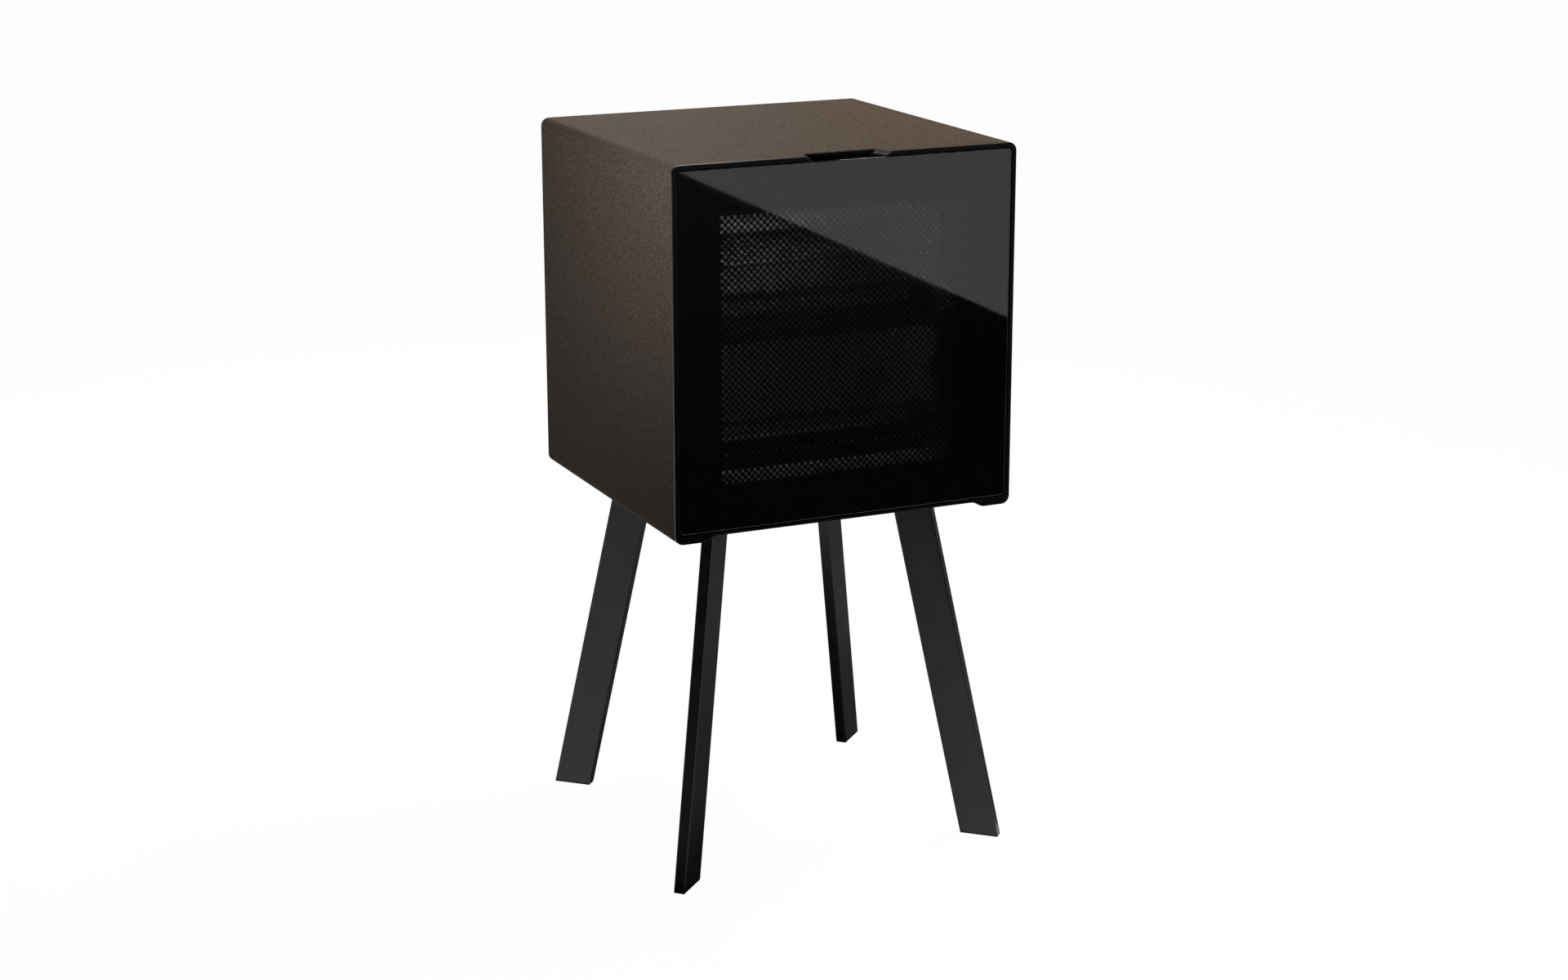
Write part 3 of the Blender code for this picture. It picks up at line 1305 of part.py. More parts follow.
def make_control_housing(materials):
    """Ceiling housing with the lamp and the thermostat."""
    front = housing_front()
    back = front + HOUSING_DEPTH
    high = LINER_TOP - GAP
    low = high - HOUSING_HEIGHT
    half = HOUSING_WIDTH / 2
    outline = rounded_rectangle((-half, front), (half, back), HOUSING_HEIGHT / 4, 3)
    housing = plan_prism("control_housing", outline, low, high, materials["grey_liner"])
    middle_y = (front + back) / 2
    lamp_left = -half + HOUSING_HEIGHT / 2
    lamp_low = (lamp_left, middle_y - LAMP_DEPTH / 2)
    lamp_high = (lamp_left + LAMP_WIDTH, middle_y + LAMP_DEPTH / 2)
    pocket = block(
        "housing_lamp_cutter",
        (lamp_low[0] - GAP, lamp_low[1] - GAP, low - OVERCUT),
        (lamp_high[0] + GAP, lamp_high[1] + GAP, high - 2 * LAMP_THICKNESS),
    )
    shaft_low = (KNOB_OFFSET, middle_y, low - OVERCUT)
    shaft_hole = cylinder("housing_knob_cutter", shaft_low, KNOB_SHAFT + PIN_PLAY, HOUSING_HEIGHT / 2, UP)
    cut(housing, pocket, shaft_hole)
    block("lamp_cover", (*lamp_low, low), (*lamp_high, low + LAMP_THICKNESS), materials["white_lamp"])
    board_high = high - 2 * LAMP_THICKNESS - GAP
    board_low = (*lamp_low, board_high - LAMP_THICKNESS)
    block("lamp_board", board_low, (*lamp_high, board_high), materials["board_green"])
    shaft_top = HOUSING_HEIGHT / 2 - 2 * OVERCUT
    profile = [(0, -shaft_top), (KNOB_SHAFT, -shaft_top), (KNOB_SHAFT, GAP), (KNOB_RADIUS, GAP)]
    profile += [(KNOB_RADIUS, KNOB_HEIGHT / 3), (KNOB_RADIUS * 0.85, KNOB_HEIGHT), (0, KNOB_HEIGHT)]
    knob = turned("thermostat_knob", profile, (0, 0, 0), (0, 0, -1), materials["rack_plastic"], 16)
    knob.location = (KNOB_OFFSET, middle_y, low)
    grip = block(
        "knob_grip",
        (KNOB_OFFSET - KNOB_RADIUS * 0.8, middle_y - OVERCUT, low - KNOB_HEIGHT * 1.3),
        (KNOB_OFFSET + KNOB_RADIUS * 0.8, middle_y + OVERCUT, low - KNOB_HEIGHT * 0.8),
    )
    weld(knob, grip)


def hang(items, name, place, parent=None):
    """Put moving pieces and their cutters under one empty on the joint's axis."""
    axis = bpy.data.objects.new(name, None)
    bpy.context.scene.collection.objects.link(axis)
    axis.location = place
    away = Matrix.Translation(-Vector(place))
    for item in items:
        item.parent = axis
        item.matrix_parent_inverse = away
    if parent is not None:
        axis.parent = parent
        axis.matrix_parent_inverse = Matrix.Translation(-parent.location)
    return axis


def made_since(before):
    return [item for item in bpy.data.objects if item not in before]


def make_door(materials):
    """The glazed door with its hinges; both racks hang inside it."""
    before = set(bpy.data.objects)
    make_door_glass(materials["smoked_glass"])
    make_door_frame(materials["black_frame"])
    make_glazing(materials)
    make_inner_trim(materials["black_frame"])
    make_gasket(materials["rubber_seal"])
    turning = made_since(before)
    turning.append(make_hinge("top", CASE_TOP - FRAME_BORDER, -1, materials))
    turning.append(make_hinge("bottom", SILL_TOP, 1, materials))
    middle_z = (DOOR_TOP + DOOR_BOTTOM) / 2
    door = hang(turning, "door_hinge_axis", (HINGE_X, HINGE_Y, middle_z))
    for level, floor in rack_heights().items():
        before = set(bpy.data.objects)
        make_rack(level, floor, materials["rack_plastic"])
        place = (0, TRIM_BACK + RAIL_DEPTH / 2, floor)
        hang(made_since(before), f"{level}_rack_lift_axis", place, door)


def make_shelves(material):
    for level, height in shelf_levels().items():
        before = set(bpy.data.objects)
        make_shelf(level, height, material)
        place = (0, LINER_FRONT + SHELF_FRONT_SPACE, height - SHELF_WIRE)
        hang(made_since(before), f"{level}_shelf_slide_axis", place)


def build():
    clear_scene()
    materials = make_materials()
    make_outer_shell(materials["bronze_shell"])
    make_front_frame(materials["black_frame"])
    make_base_plate(materials["black_sheet"])
    make_liner(materials["grey_liner"])
    make_foam(materials["foam"])
    make_rear_panel(materials["zinc_sheet"])
    make_rear_cover(materials["black_sheet"])
    make_cover_screws(materials["hinge_steel"])
    make_control_box(materials["glide_plastic"])
    make_power_inlet(materials["glide_plastic"])
    make_door(materials)
    make_shelves(materials["shelf_wire"])
    make_cold_plate(materials["cast_aluminium"])
    make_drip_tray(materials["grey_liner"])
    make_drain_tube(materials["rubber_seal"])
    make_control_housing(materials)
    make_absorber_tank(materials["unit_steel"])
    make_boiler(materials)
    make_condenser(materials["unit_steel"])
    make_absorber_coil(materials["unit_steel"])
    make_unit_brackets(materials["zinc_sheet"])
    make_legs(materials)


build()
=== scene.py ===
# %% [markdown]
# Glass door minibar on four splayed legs.
# The hard parts of this object already exist as solids: the folded case, the black collar,
# the door, the shelves and the legs. This notebook loads them and dresses them.
# Each finish is built from shader nodes, so nothing is read from a picture.

# %% Load the solids
import math

import bmesh
import bpy
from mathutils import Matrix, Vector


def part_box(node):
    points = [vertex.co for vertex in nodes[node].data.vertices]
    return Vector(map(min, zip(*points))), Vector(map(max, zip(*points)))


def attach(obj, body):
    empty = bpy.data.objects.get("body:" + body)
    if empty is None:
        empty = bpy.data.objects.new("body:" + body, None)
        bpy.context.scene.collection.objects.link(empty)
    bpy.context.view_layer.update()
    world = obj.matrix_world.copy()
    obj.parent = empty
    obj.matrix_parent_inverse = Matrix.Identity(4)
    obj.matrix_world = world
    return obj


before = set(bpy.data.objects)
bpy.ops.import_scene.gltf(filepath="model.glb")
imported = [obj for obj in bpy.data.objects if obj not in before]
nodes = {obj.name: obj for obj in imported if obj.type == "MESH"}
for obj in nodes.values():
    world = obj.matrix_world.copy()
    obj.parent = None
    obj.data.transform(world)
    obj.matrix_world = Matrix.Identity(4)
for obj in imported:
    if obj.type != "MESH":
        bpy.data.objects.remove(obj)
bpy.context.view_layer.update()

# %% [markdown]
# The product is shown from above and from its left, through a long lens.
# A long lens keeps the case square, as a catalogue view does. The camera stands about
# three and a half metres away and looks down by fifteen degrees.

# %% Camera
IMAGE_WIDTH = 1920
FOCAL_PIXELS = 3493
CAMERA_PLACE = Vector((-1.492, -3.263, 1.437))
CAMERA_YAW = math.radians(24.82)
CAMERA_DOWN = math.radians(15.5)

camera_data = bpy.data.cameras.new("catalogue_camera")
camera_data.sensor_width = 36
camera_data.lens = FOCAL_PIXELS / IMAGE_WIDTH * camera_data.sensor_width
camera_data.clip_end = 100
camera = bpy.data.objects.new("catalogue_camera", camera_data)
camera.location = CAMERA_PLACE
camera.rotation_euler = (math.pi / 2 - CAMERA_DOWN, 0, -CAMERA_YAW)
bpy.context.scene.collection.objects.link(camera)
bpy.context.scene.camera = camera
bpy.context.scene.view_settings.view_transform = "Standard"
print("lens in millimetres:", round(camera_data.lens, 1))

# %% [markdown]
# Every finish starts as one Principled shader whose plain numbers sit on its own sockets. Its
# nodes could be laid out by hand in the shader editor, but a function gives all finishes the
# same form and keeps each one short. The small helpers beside it add a node and a link.

# %% Helpers for finishes
def finish(name, colour, roughness, metallic=0.0, specular=0.5, alpha=1.0):
    material = bpy.data.materials.new(name)
    material.use_nodes = True
    shader = material.node_tree.nodes["Principled BSDF"]
    shader.inputs["Base Color"].default_value = (*colour, 1)
    shader.inputs["Roughness"].default_value = roughness
    shader.inputs["Metallic"].default_value = metallic
    shader.inputs["Specular IOR Level"].default_value = specular
    shader.inputs["Alpha"].default_value = alpha
    return material


def shader_of(material):
    return material.node_tree.nodes["Principled BSDF"]


def add_node(material, kind, **settings):
    node = material.node_tree.nodes.new(kind)
    for key, value in settings.items():
        setattr(node, key, value)
    return node


def join(material, output, target):
    material.node_tree.links.new(output, target)


# %% [markdown]
# No real surface is even. Noise, colour ramps and bump draw grain and flecks without a picture.
# They follow the object's own coordinates, so nothing has to be unwrapped and the grain stays
# sharp close up.

# %% Helpers for patterns
def noise(material, scale, detail=2.0):
    """Noise in the object's own coordinates, so it stays on the piece when it moves."""
    coordinates = add_node(material, "ShaderNodeTexCoord")
    pattern = add_node(material, "ShaderNodeTexNoise")
    pattern.inputs["Scale"].default_value = scale
    pattern.inputs["Detail"].default_value = detail
    join(material, coordinates.outputs["Object"], pattern.inputs["Vector"])
    return pattern.outputs["Fac"]


def ramp(material, value, stops):
    """Turn a grey value into colours or greys; stops are (place, colour) pairs."""
    node = add_node(material, "ShaderNodeValToRGB")
    points = node.color_ramp.elements
    while len(points) < len(stops):
        points.new(0.5)
    for point, (place, colour) in zip(points, stops):
        point.position = place
        point.color = (*colour, 1)
    join(material, value, node.inputs["Fac"])
    return node.outputs["Color"]


def greys(low, high, start=0.3, end=0.7):
    return [(start, (low,) * 3), (end, (high,) * 3)]


def bump(material, value, strength, distance):
    node = add_node(material, "ShaderNodeBump")
    node.inputs["Strength"].default_value = strength
    node.inputs["Distance"].default_value = distance
    join(material, value, node.inputs["Height"])
    join(material, node.outputs["Normal"], shader_of(material).inputs["Normal"])
    return node


# %% [markdown]
# Colour and gloss are what a pattern changes most, so each gets a helper of its own. The last
# helper puts a finish on solids by their names and says how many it dressed.

# %% Helpers that dress the solids
def vary_colour(material, pattern, stops):
    """Let a pattern choose the base colour between the given stops."""
    join(material, ramp(material, pattern, stops), shader_of(material).inputs["Base Color"])


def vary_roughness(material, scale, low, high, detail=2.0):
    """Let the gloss drift between two roughness values."""
    gloss = ramp(material, noise(material, scale, detail), greys(low, high))
    join(material, gloss, shader_of(material).inputs["Roughness"])


def dress(material, *names):
    for name in names:
        for slot in nodes[name].material_slots:
            slot.material = material
    print(material.name, "on", len(names), "pieces")


# %% [markdown]
# The case is folded sheet with a bronze brown powder coat. Close up, powder coat is a field of
# fine grains, some lighter and some darker, with a faint orange peel. One fine noise gives the
# flecks and a low bump under them, and a second one lets the gloss drift, so no patch of sheet
# shines like its neighbour. A picture of the coat would stretch on the folded edges.

# %% Bronze powder coat
bronze = finish("bronze_powder_coat", (0.092, 0.069, 0.055), 0.68, specular=0.05)
grain = noise(bronze, 600, 3)
vary_colour(bronze, grain, [
    (0.39, (0.055, 0.041, 0.032)),
    (0.50, (0.090, 0.067, 0.053)),
    (0.61, (0.140, 0.108, 0.087)),
])
vary_roughness(bronze, 450, 0.60, 0.76)
bump(bronze, grain, 0.2, 0.0002)
dress(bronze, "outer_shell")

# %% [markdown]
# The collar round the door and the door's own frame are moulded in black plastic. It is satin,
# not polished, with a very fine spark eroded grain that shows only as a soft highlight.

# %% Black moulded plastic
black_plastic = finish("black_moulded_plastic", (0.004, 0.004, 0.0042), 0.32, specular=0.14)
vary_roughness(black_plastic, 700, 0.26, 0.40)
bump(black_plastic, noise(black_plastic, 1400), 0.15, 0.0001)
dress(black_plastic, "front_frame", "door_frame", "door_inner_trim")

# %% [markdown]
# The front pane is smoked glass. Light from the lamp inside has to pass through it, so the shader
# mixes its own shine with plain see-through. A raised specular level makes up for the share that
# alpha takes away. The inner pane is clear and bends light as real glass does, so it also mirrors
# the racks when the door stands open.

# %% Glass
smoked = finish("smoked_glass", (0.006, 0.006, 0.0066), 0.015, specular=0.8, alpha=0.6)
shader_of(smoked).inputs["Specular Tint"].default_value = (0.97, 0.91, 1.0, 1)
dress(smoked, "door_glass")
clear = finish("clear_glass", (0.95, 0.97, 0.96), 0.02)
shader_of(clear).inputs["Transmission Weight"].default_value = 1.0
dress(clear, "inner_glass")
for glass in (smoked, clear):
    vary_roughness(glass, 6, 0.008, 0.03)

# %% [markdown]
# The inside of the pane carries a black ceramic print: a wide border, and inside it a chequer of
# small clear squares. The real print is a thin flat layer, so it is drawn as one flat mesh just
# behind the glass. Each black square is a little larger than its cell and has its corners cut,
# so that squares meet corner to corner and the clear ones come out slightly smaller.

# %% Ceramic print
glass_low, glass_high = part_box("door_glass")
CELL = 0.0042
CELLS = 79
RIM = CELL * 0.05
GAP_BEHIND_GLASS = 0.00012
EDGE_MARGIN = 0.0008
WELD_DISTANCE = 0.000005
WINDOW_HEIGHT = 0.684
print_y = glass_high.y + GAP_BEHIND_GLASS
window_half = CELL * CELLS / 2


def print_outline(x, z):
    """Corners of one black square, held inside the window."""
    half = CELL / 2 + RIM
    cut = CELL / 2 - RIM
    corners = [(-cut, -half), (cut, -half), (half, -cut), (half, cut),
               (cut, half), (-cut, half), (-half, cut), (-half, -cut)]
    held = []
    for dx, dz in corners:
        px = max(-window_half, min(window_half, x + dx))
        pz = max(-window_half, min(window_half, z + dz))
        held.append((px, pz))
    return held


print("window half width in metres:", round(window_half, 4))

# %% [markdown]
# Every other cell of the grid gets its black square. Building them one by one in bmesh keeps
# the pattern exact, where a picture of it would blur close up.

# %% Squares of the print
print_mesh = bmesh.new()
for row in range(CELLS):
    for column in range(CELLS):
        if (row + column) % 2 == 0:
            continue
        x = -window_half + CELL * (column + 0.5)
        z = -window_half + CELL * (row + 0.5)
        outline = [(px, print_y, WINDOW_HEIGHT + pz) for px, pz in print_outline(x, z)]
        print_mesh.faces.new([print_mesh.verts.new(corner) for corner in outline])
print("black squares in the print:", len(print_mesh.faces))

# %% [markdown]
# Round the window lies the wide border. It could be one big face with a hole, but a face can't
# hold a hole, so four plain strips are laid round the squares. They stop just short of the
# glass's edge, and corners that fall together are welded.

# %% Border of the print
left = glass_low.x + EDGE_MARGIN
right = glass_high.x - EDGE_MARGIN
low = glass_low.z + EDGE_MARGIN
high = glass_high.z - EDGE_MARGIN
inner_low = WINDOW_HEIGHT - window_half
inner_high = WINDOW_HEIGHT + window_half
for x0, x1, z0, z1 in (
    (left, right, inner_high, high),
    (left, right, low, inner_low),
    (left, -window_half, inner_low, inner_high),
    (window_half, right, inner_low, inner_high),
):
    corners = ((x0, z0), (x1, z0), (x1, z1), (x0, z1))
    print_mesh.faces.new([print_mesh.verts.new((x, print_y, z)) for x, z in corners])
bmesh.ops.remove_doubles(print_mesh, verts=print_mesh.verts, dist=WELD_DISTANCE)
print("faces in the whole print:", len(print_mesh.faces))

# %% [markdown]
# The mesh is now made into an object. The print is enamel fired onto the glass, so it is black
# and dull and has hardly any shine of its own. It rides on the door and opens with it.

# %% Print on the door
def mesh_object(name, mesh):
    """Turn a finished bmesh into an object of the scene."""
    data = bpy.data.meshes.new(name)
    mesh.to_mesh(data)
    mesh.free()
    made = bpy.data.objects.new(name, data)
    bpy.context.scene.collection.objects.link(made)
    return made


ceramic_print = mesh_object("ceramic_print", print_mesh)
enamel = finish("black_enamel", (0.004, 0.004, 0.0044), 0.4, specular=0.1)
vary_roughness(enamel, 300, 0.35, 0.5)
ceramic_print.data.materials.append(enamel)
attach(ceramic_print, "door")
print("corners in the whole print:", len(ceramic_print.data.vertices))

# %% [markdown]
# Inside, the box is dark grey moulded plastic with a satin grain. One flat grey would look
# painted on, so a slow noise lets the grey drift a little and a fine one gives the grain. The
# same finish serves the drip tray and the ceiling housing.

# %% Inside of the case
liner = finish("grey_liner_plastic", (0.105, 0.106, 0.112), 0.45, specular=0.4)
vary_colour(liner, noise(liner, 40), [(0.3, (0.095, 0.096, 0.102)), (0.7, (0.115, 0.116, 0.122))])
bump(liner, noise(liner, 1200), 0.2, 0.0001)
dress(liner, "cabinet_liner", "drip_tray", "control_housing")

# %% [markdown]
# The door racks and the knob are smoked plastic, a little glossier than the box. The shelves are
# wire with a dark dip coating, which is never quite even, so its gloss and its surface vary.

# %% Racks and shelves
rack_plastic = finish("smoked_rack_plastic", (0.045, 0.045, 0.05), 0.3, specular=0.5)
vary_roughness(rack_plastic, 200, 0.24, 0.36)
dress(rack_plastic, "upper_rack", "lower_rack", "thermostat_knob")

wire = finish("coated_wire", (0.03, 0.03, 0.031), 0.35, specular=0.5)
vary_roughness(wire, 350, 0.28, 0.42)
bump(wire, noise(wire, 500), 0.2, 0.0002)
dress(wire, "upper_shelf", "lower_shelf")

# %% [markdown]
# The lamp lights the inside from the ceiling through a frosted cover. The cover itself glows
# here, so the light comes from its whole face and the shelves throw soft shadows. It is strong,
# because the print and the smoked glass let so little of it out.

# %% Lamp and its board
LAMP_GLOW = 330.0
lamp = finish("frosted_lamp_cover", (0.82, 0.83, 0.80), 0.4, specular=0.5)
shader_of(lamp).inputs["Emission Color"].default_value = (1.0, 0.98, 0.94, 1)
shader_of(lamp).inputs["Emission Strength"].default_value = LAMP_GLOW
vary_roughness(lamp, 500, 0.35, 0.5)
dress(lamp, "lamp_cover")

board = finish("circuit_board", (0.02, 0.13, 0.05), 0.45)
vary_colour(board, noise(board, 250), [(0.4, (0.018, 0.12, 0.05)), (0.6, (0.03, 0.16, 0.07))])
dress(board, "lamp_board")

# %% [markdown]
# Cast and sheet metals differ in their grain. Cast aluminium is sandy in all directions.
# Zinc coated sheet shows large crystals, which a cell pattern draws well.

# %% Cast plate and zinc sheet
cast = finish("sandy_cast_aluminium", (0.60, 0.61, 0.62), 0.42, metallic=0.95)
vary_roughness(cast, 260, 0.34, 0.52, detail=4)
bump(cast, noise(cast, 900, 3), 0.3, 0.0002)
dress(cast, "cold_plate")

zinc = finish("crystal_zinc_sheet", (0.52, 0.53, 0.54), 0.38, metallic=0.9)
coordinates = add_node(zinc, "ShaderNodeTexCoord")
crystals = add_node(zinc, "ShaderNodeTexVoronoi")
crystals.inputs["Scale"].default_value = 90
join(zinc, coordinates.outputs["Object"], crystals.inputs["Vector"])
crystal = crystals.outputs["Distance"]
vary_colour(zinc, crystal, [(0.0, (0.47, 0.48, 0.49)), (0.8, (0.60, 0.61, 0.62))])
crystal_gloss = ramp(zinc, crystal, greys(0.30, 0.46, 0, 0.8))
join(zinc, crystal_gloss, shader_of(zinc).inputs["Roughness"])
dress(zinc, "rear_panel", "boiler_jacket", "tank_bracket", "boiler_bracket")

# %% [markdown]
# Hinges and screws are plated steel, with the uneven shine that tumbling leaves. Painted steel
# on the back and on the cooling unit is plain black with a dusty, uneven gloss.

# %% Plated and painted steel
steel = finish("plated_steel", (0.50, 0.50, 0.51), 0.28, metallic=1.0)
vary_roughness(steel, 500, 0.22, 0.38)
dress(steel, "top_hinge_plate", "bottom_hinge_plate", "top_hinge_pin", "bottom_hinge_pin",
      "heater_cartridge", *[f"cover_screw_{index}" for index in (1, 2, 3, 4)])

painted_sheet = finish("black_painted_sheet", (0.014, 0.014, 0.015), 0.5, specular=0.4)
vary_colour(painted_sheet, noise(painted_sheet, 500, 3), [
    (0.35, (0.010, 0.010, 0.011)),
    (0.65, (0.020, 0.020, 0.021)),
])
vary_roughness(painted_sheet, 60, 0.42, 0.58)
bump(painted_sheet, noise(painted_sheet, 900), 0.3, 0.0002)
dress(painted_sheet, "base_plate", "rear_cover", "absorber_tank", "absorber_coil", "condenser",
      "boiler_feed_pipe")

# %% [markdown]
# The legs are flat steel tube with a fine satin powder coat, almost black. Their colour hardly
# shows: what the eye sees is the gloss, so most of their look comes from the cards further down.
# The feet, the control box and the inlet are duller moulded plastic, and the bolts are plated.

# %% Legs
CORNERS = ("front_left", "front_right", "back_left", "back_right")
leg_coat = finish("satin_leg_coat", (0.005, 0.0047, 0.005), 0.34, specular=0.45)
vary_colour(leg_coat, noise(leg_coat, 800, 3), [
    (0.30, (0.004, 0.0037, 0.004)),
    (0.70, (0.007, 0.0066, 0.007)),
])
vary_roughness(leg_coat, 30, 0.31, 0.37)
shader_of(leg_coat).inputs["Specular Tint"].default_value = (1.0, 0.96, 1.0, 1)
bump(leg_coat, noise(leg_coat, 1100), 0.25, 0.00015)
dress(leg_coat, *[f"{corner}_leg" for corner in CORNERS])

dull_plastic = finish("dull_black_plastic", (0.016, 0.016, 0.016), 0.6, specular=0.3)
vary_roughness(dull_plastic, 400, 0.5, 0.7)
dress(dull_plastic, "control_box", "power_inlet", *[f"{corner}_glide" for corner in CORNERS])

dress(steel, *[f"{corner}_leg_bolt_{index}" for corner in CORNERS for index in (1, 2)])

# %% [markdown]
# Now the soft and hidden pieces: the rubber seal and drain tube, the nylon bushes, the foam and
# the dark bar between the panes. They show only at an open door or with the piece taken apart,
# so a plain finish with an uneven gloss is enough. Foam is rough to the touch and gets a bump.

# %% Seal, bushes, foam and spacer
rubber = finish("seal_rubber", (0.014, 0.014, 0.014), 0.75, specular=0.3)
vary_roughness(rubber, 150, 0.65, 0.85)
dress(rubber, "door_gasket", "drain_tube")

nylon = finish("natural_nylon", (0.72, 0.71, 0.67), 0.5)
vary_roughness(nylon, 300, 0.42, 0.58)
dress(nylon, "top_hinge_bush", "bottom_hinge_bush")

foam = finish("insulation_foam", (0.72, 0.62, 0.38), 0.9, specular=0.2)
vary_colour(foam, noise(foam, 120, 4), [(0.3, (0.62, 0.52, 0.30)), (0.7, (0.80, 0.70, 0.46))])
bump(foam, noise(foam, 250, 4), 0.5, 0.001)
dress(foam, "insulation_foam")

anodised = finish("dark_anodised_bar", (0.04, 0.04, 0.042), 0.4, metallic=0.8)
vary_roughness(anodised, 500, 0.34, 0.48)
dress(anodised, "glazing_spacer")

# %% [markdown]
# The stage is a wide pale floor, so wide that its rim is lost in the white room. A disc does it.
# It lies a hair below the feet, so that no face of a foot lies in the same plane.

# %% Floor
FLOOR_RADIUS = 30
FLOOR_DROP = 0.0005
floor_mesh = bmesh.new()
bmesh.ops.create_circle(floor_mesh, cap_ends=True, radius=FLOOR_RADIUS, segments=64)
floor = mesh_object("floor", floor_mesh)
floor.location.z = -FLOOR_DROP
print("floor radius in metres:", FLOOR_RADIUS)

# %% [markdown]
# A white floor would throw so much light up that the dark legs turn grey. Cycles can tell rays
# apart, so the white is shown only to rays that make up the picture: those from the camera, from
# a mirror or through glass. Rays that light the piece don't see it.

# %% Helper for rays
def picture_rays(tree):
    """One for rays from the camera, a mirror or glass, and nought for all others."""
    path = tree.nodes.new("ShaderNodeLightPath")
    seen = path.outputs["Is Camera Ray"]
    for kind in ("Is Glossy Ray", "Is Transmission Ray"):
        either = tree.nodes.new("ShaderNodeMath")
        either.operation = "MAXIMUM"
        tree.links.new(seen, either.inputs[0])
        tree.links.new(path.outputs[kind], either.inputs[1])
        seen = either.outputs[0]
    return seen


# %% [markdown]
# The floor's paint adds up two shaders: a glow for those rays, a little short of white, and a dim
# paint that the lamps lift to white. Where the piece keeps the lamps away, the paint stays dark
# and a soft shadow is left.

# %% Floor paint
FLOOR_GLOW = 0.975
floor_paint = finish("pale_floor", (0.09, 0.09, 0.09), 0.9, specular=0.0)
share = add_node(floor_paint, "ShaderNodeMath", operation="MULTIPLY")
share.inputs[1].default_value = FLOOR_GLOW
glow = add_node(floor_paint, "ShaderNodeEmission")
total = add_node(floor_paint, "ShaderNodeAddShader")
surface = floor_paint.node_tree.nodes["Material Output"].inputs["Surface"]
join(floor_paint, picture_rays(floor_paint.node_tree), share.inputs[0])
join(floor_paint, share.outputs[0], glow.inputs["Strength"])
join(floor_paint, shader_of(floor_paint).outputs[0], total.inputs[0])
join(floor_paint, glow.outputs[0], total.inputs[1])
join(floor_paint, total.outputs[0], surface)
floor.data.materials.append(floor_paint)
print("floor glows at:", FLOOR_GLOW)

# %% [markdown]
# The room behind the floor is white in the picture too. For the light that falls on the piece it
# is a dim grey, so that the lamps alone shape the case. A map range node turns the nought or one
# of the ray helper into those two strengths.

# %% World
ROOM_LIGHT = 0.06
ROOM_WHITE = 1.0
world = bpy.data.worlds.new("studio")
bpy.context.scene.world = world
world.use_nodes = True
tree = world.node_tree
background = tree.nodes["Background"]
background.inputs["Color"].default_value = (1, 1, 1, 1)
level = tree.nodes.new("ShaderNodeMapRange")
level.inputs["To Min"].default_value = ROOM_LIGHT
level.inputs["To Max"].default_value = ROOM_WHITE
tree.links.new(picture_rays(tree), level.inputs["Value"])
tree.links.new(level.outputs["Result"], background.inputs["Strength"])
print("light from the room:", ROOM_LIGHT)

# %% [markdown]
# Three soft boxes. One hangs close to the upper left front corner, and a grid narrows its light,
# so that it fades down the side of the case. A larger and warmer one above the right side evens
# out the top, and a weak one lights the back.

# %% Lamps
def soft_box(name, place, aim, side, power, colour=(1, 1, 1), spread=180):
    data = bpy.data.lights.new(name, "AREA")
    data.shape = "SQUARE"
    data.size = side
    data.energy = power
    data.color = colour
    data.spread = math.radians(spread)
    lamp_object = bpy.data.objects.new(name, data)
    lamp_object.location = place
    lamp_object.rotation_euler = (Vector(aim) - Vector(place)).to_track_quat("-Z", "Y").to_euler()
    lamp_object.visible_camera = False
    bpy.context.scene.collection.objects.link(lamp_object)
    print(name, "watts:", power)
    return lamp_object


soft_box("top_box", (0.85, 0.1, 1.95), (0.1, 0, 0.9), 1.0, 19.5, colour=(1, 0.91, 0.76))
soft_box("left_box", (-0.97, -0.77, 1.14), (-0.229, -0.15, 1.08), 0.3, 1.95, spread=64)
soft_box("back_box", (0.6, 2.6, 1.6), (0, 0.2, 0.6), 1.0, 10)

# %% [markdown]
# A product photographer shapes reflections with cards round the set. Here they are meshes that
# only mirror rays see, so they draw the shine and change neither the light nor the shadows.

# %% Helpers for cards
CARD_HEIGHT = 0.001
cards = []


def mirror_card(name, mesh, colour):
    card = mesh_object(name, mesh)
    card.data.materials.append(finish(name, colour, 0.9, specular=0.0))
    card.visible_camera = False
    card.visible_diffuse = False
    card.visible_transmission = False
    card.visible_shadow = False
    cards.append(card)
    return card


def flat_card(name, corners, colour, height=CARD_HEIGHT):
    mesh = bmesh.new()
    mesh.faces.new([mesh.verts.new((x, y, height)) for x, y in corners])
    return mirror_card(name, mesh, colour)


# %% [markdown]
# A black card lies on the floor in front and mirrors in the lower part of the door. Its long
# edge draws the slanted border of the bright part in the glass, so its two points were worked
# out backwards from that border.

# %% Black card in front
NEAR_STRETCH = 0.9
FAR_STRETCH = 1.5
LEFT_SIDE = -6
edge_far = Vector((1.953, -5.433))
edge_near = Vector((1.8255, -3.066))
step = edge_near - edge_far
near_end = edge_near + step * NEAR_STRETCH
far_end = edge_far - step * FAR_STRETCH
front_corners = [near_end[:], far_end[:], (LEFT_SIDE, far_end.y), (LEFT_SIDE, near_end.y)]
flat_card("black_card", front_corners, (0.1, 0.1, 0.1))
print("front card ends at:", [round(value, 2) for value in near_end])
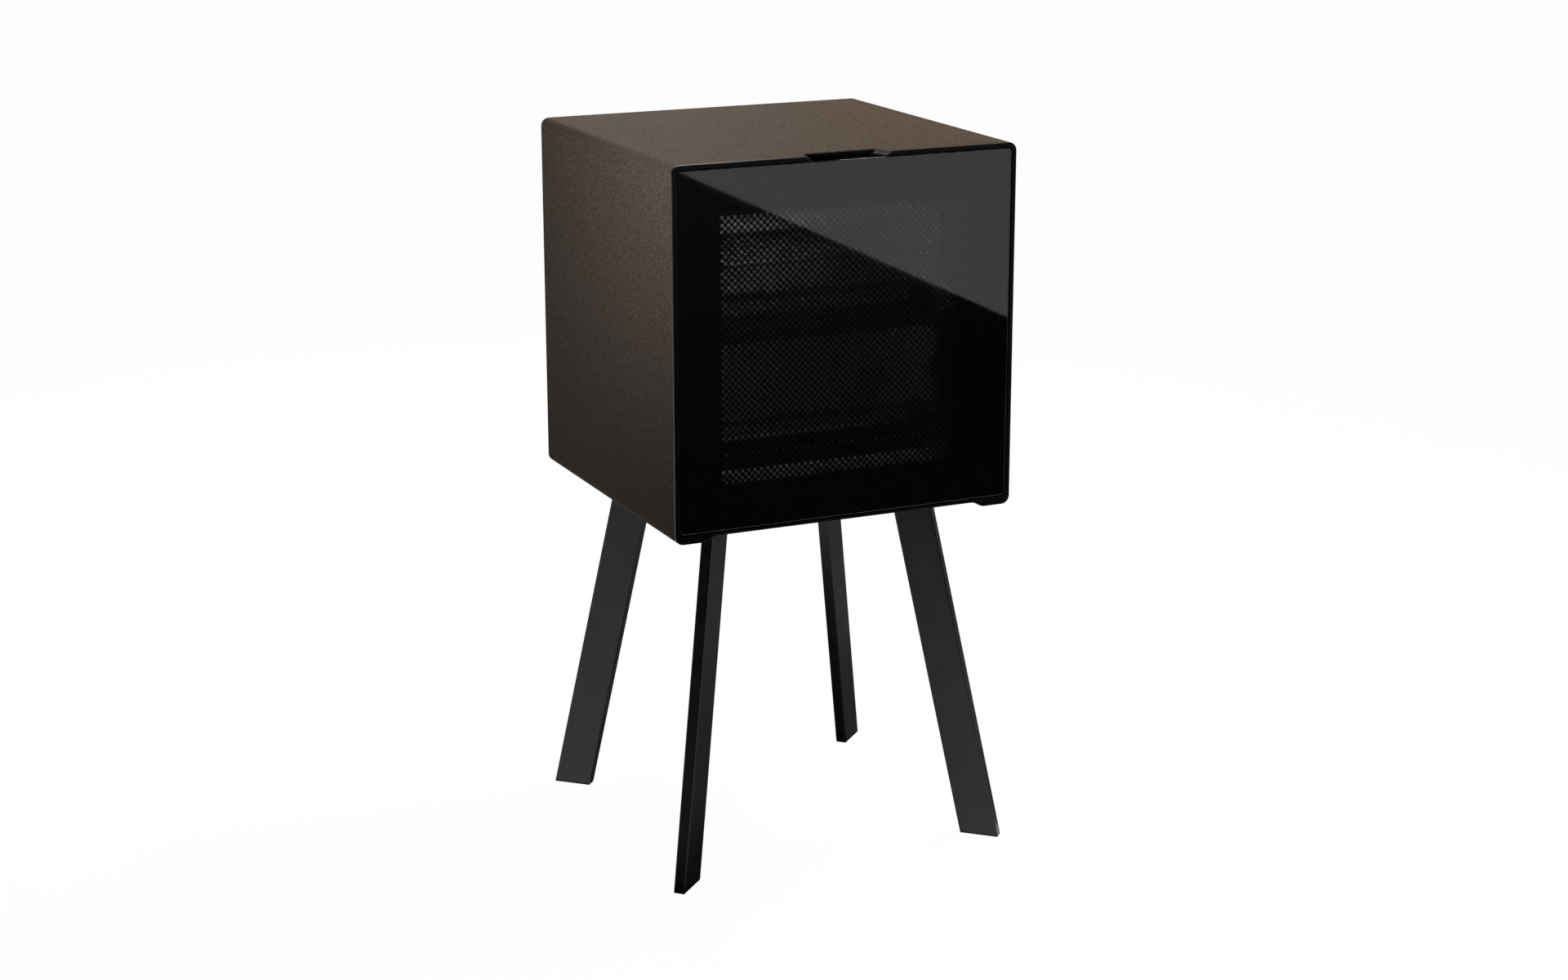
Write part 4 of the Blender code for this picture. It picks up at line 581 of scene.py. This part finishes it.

# %% [markdown]
# Three grey cards lie under and beside the legs, where the wide slanted faces look. In the legs'
# reflection they take the place of the white floor, so the mirrored floor round the case is grey:
# this is painted shade of the floor in the reflection, and the middle strip is darker than the
# far one. They are a little blue, since the top lamp is warm. A black wedge to the left darkens
# the narrow face of the front leg.

# %% Cards for the legs
NEAR_SIDE = -0.19
FAR_SIDE = 4
near_corners = [(-0.24, -0.26), (0, -0.26), (0.1, NEAR_SIDE), (0.1, FAR_SIDE),
                (-0.19, FAR_SIDE), (-0.19, 0.1), (-0.24, 0.02)]
flat_card("near_grey_card", near_corners, (0.28, 0.31, 0.375))
# Painted shade in the mirrored floor: the middle strip is greyer than the far one, so the legs'
# reflection darkens towards the case.
for name, start, end, colour in (
    ("middle_grey_card", 0.1, 0.6, (0.2, 0.225, 0.27)),
    ("far_grey_card", 0.6, 4, (0.37, 0.41, 0.485)),
):
    strip = [(start, NEAR_SIDE), (end, NEAR_SIDE), (end, FAR_SIDE), (start, FAR_SIDE)]
    flat_card(name, strip, colour)
wedge_corners = [(-0.22, -0.17), (-0.24, -0.27), (-2, -1.1), (-2, -0.8)]
flat_card("black_wedge", wedge_corners, (0.04, 0.04, 0.04))
print("cards on the floor:", len(cards))

# %% [markdown]
# A dark cloth stands all round the set under a dark ceiling. Without them the white room would
# mirror in the satin surfaces and wash out the brown of the case.

# %% Cloth and ceiling
CLOTH_RADIUS = 8.0
CLOTH_HEIGHT = 4.2
cloth = bmesh.new()
bmesh.ops.create_cone(
    cloth, radius1=CLOTH_RADIUS, radius2=CLOTH_RADIUS, depth=CLOTH_HEIGHT, segments=64)
bmesh.ops.translate(cloth, verts=cloth.verts, vec=(0, 0, CLOTH_HEIGHT / 2))
mirror_card("dark_cloth", cloth, (0.042, 0.042, 0.042))


def square(x, y, half):
    return [(x + dx * half, y + dy * half) for dx, dy in ((-1, -1), (1, -1), (1, 1), (-1, 1))]


flat_card("dark_ceiling", square(0, 0, CLOTH_RADIUS), (0.05, 0.05, 0.05), CLOTH_HEIGHT)
print("cloth radius in metres:", CLOTH_RADIUS)

# %% [markdown]
# One small panel under the ceiling glows. The sloping end of the finger recess looks up at it
# and catches a soft light, as the black edge of the recess does in daylight.

# %% Glowing panel
PANEL_HALF = 0.8
PANEL_HEIGHT = CLOTH_HEIGHT - 0.1
PANEL_GLOW = 3.0
panel_corners = square(-0.5, 2.5, PANEL_HALF)
panel = flat_card("glowing_panel", panel_corners, (0.8, 0.8, 0.8), PANEL_HEIGHT)
panel_shader = shader_of(panel.data.materials[0])
panel_shader.inputs["Emission Color"].default_value = (1, 1, 1, 1)
panel_shader.inputs["Emission Strength"].default_value = PANEL_GLOW
print("cards:", len(cards))
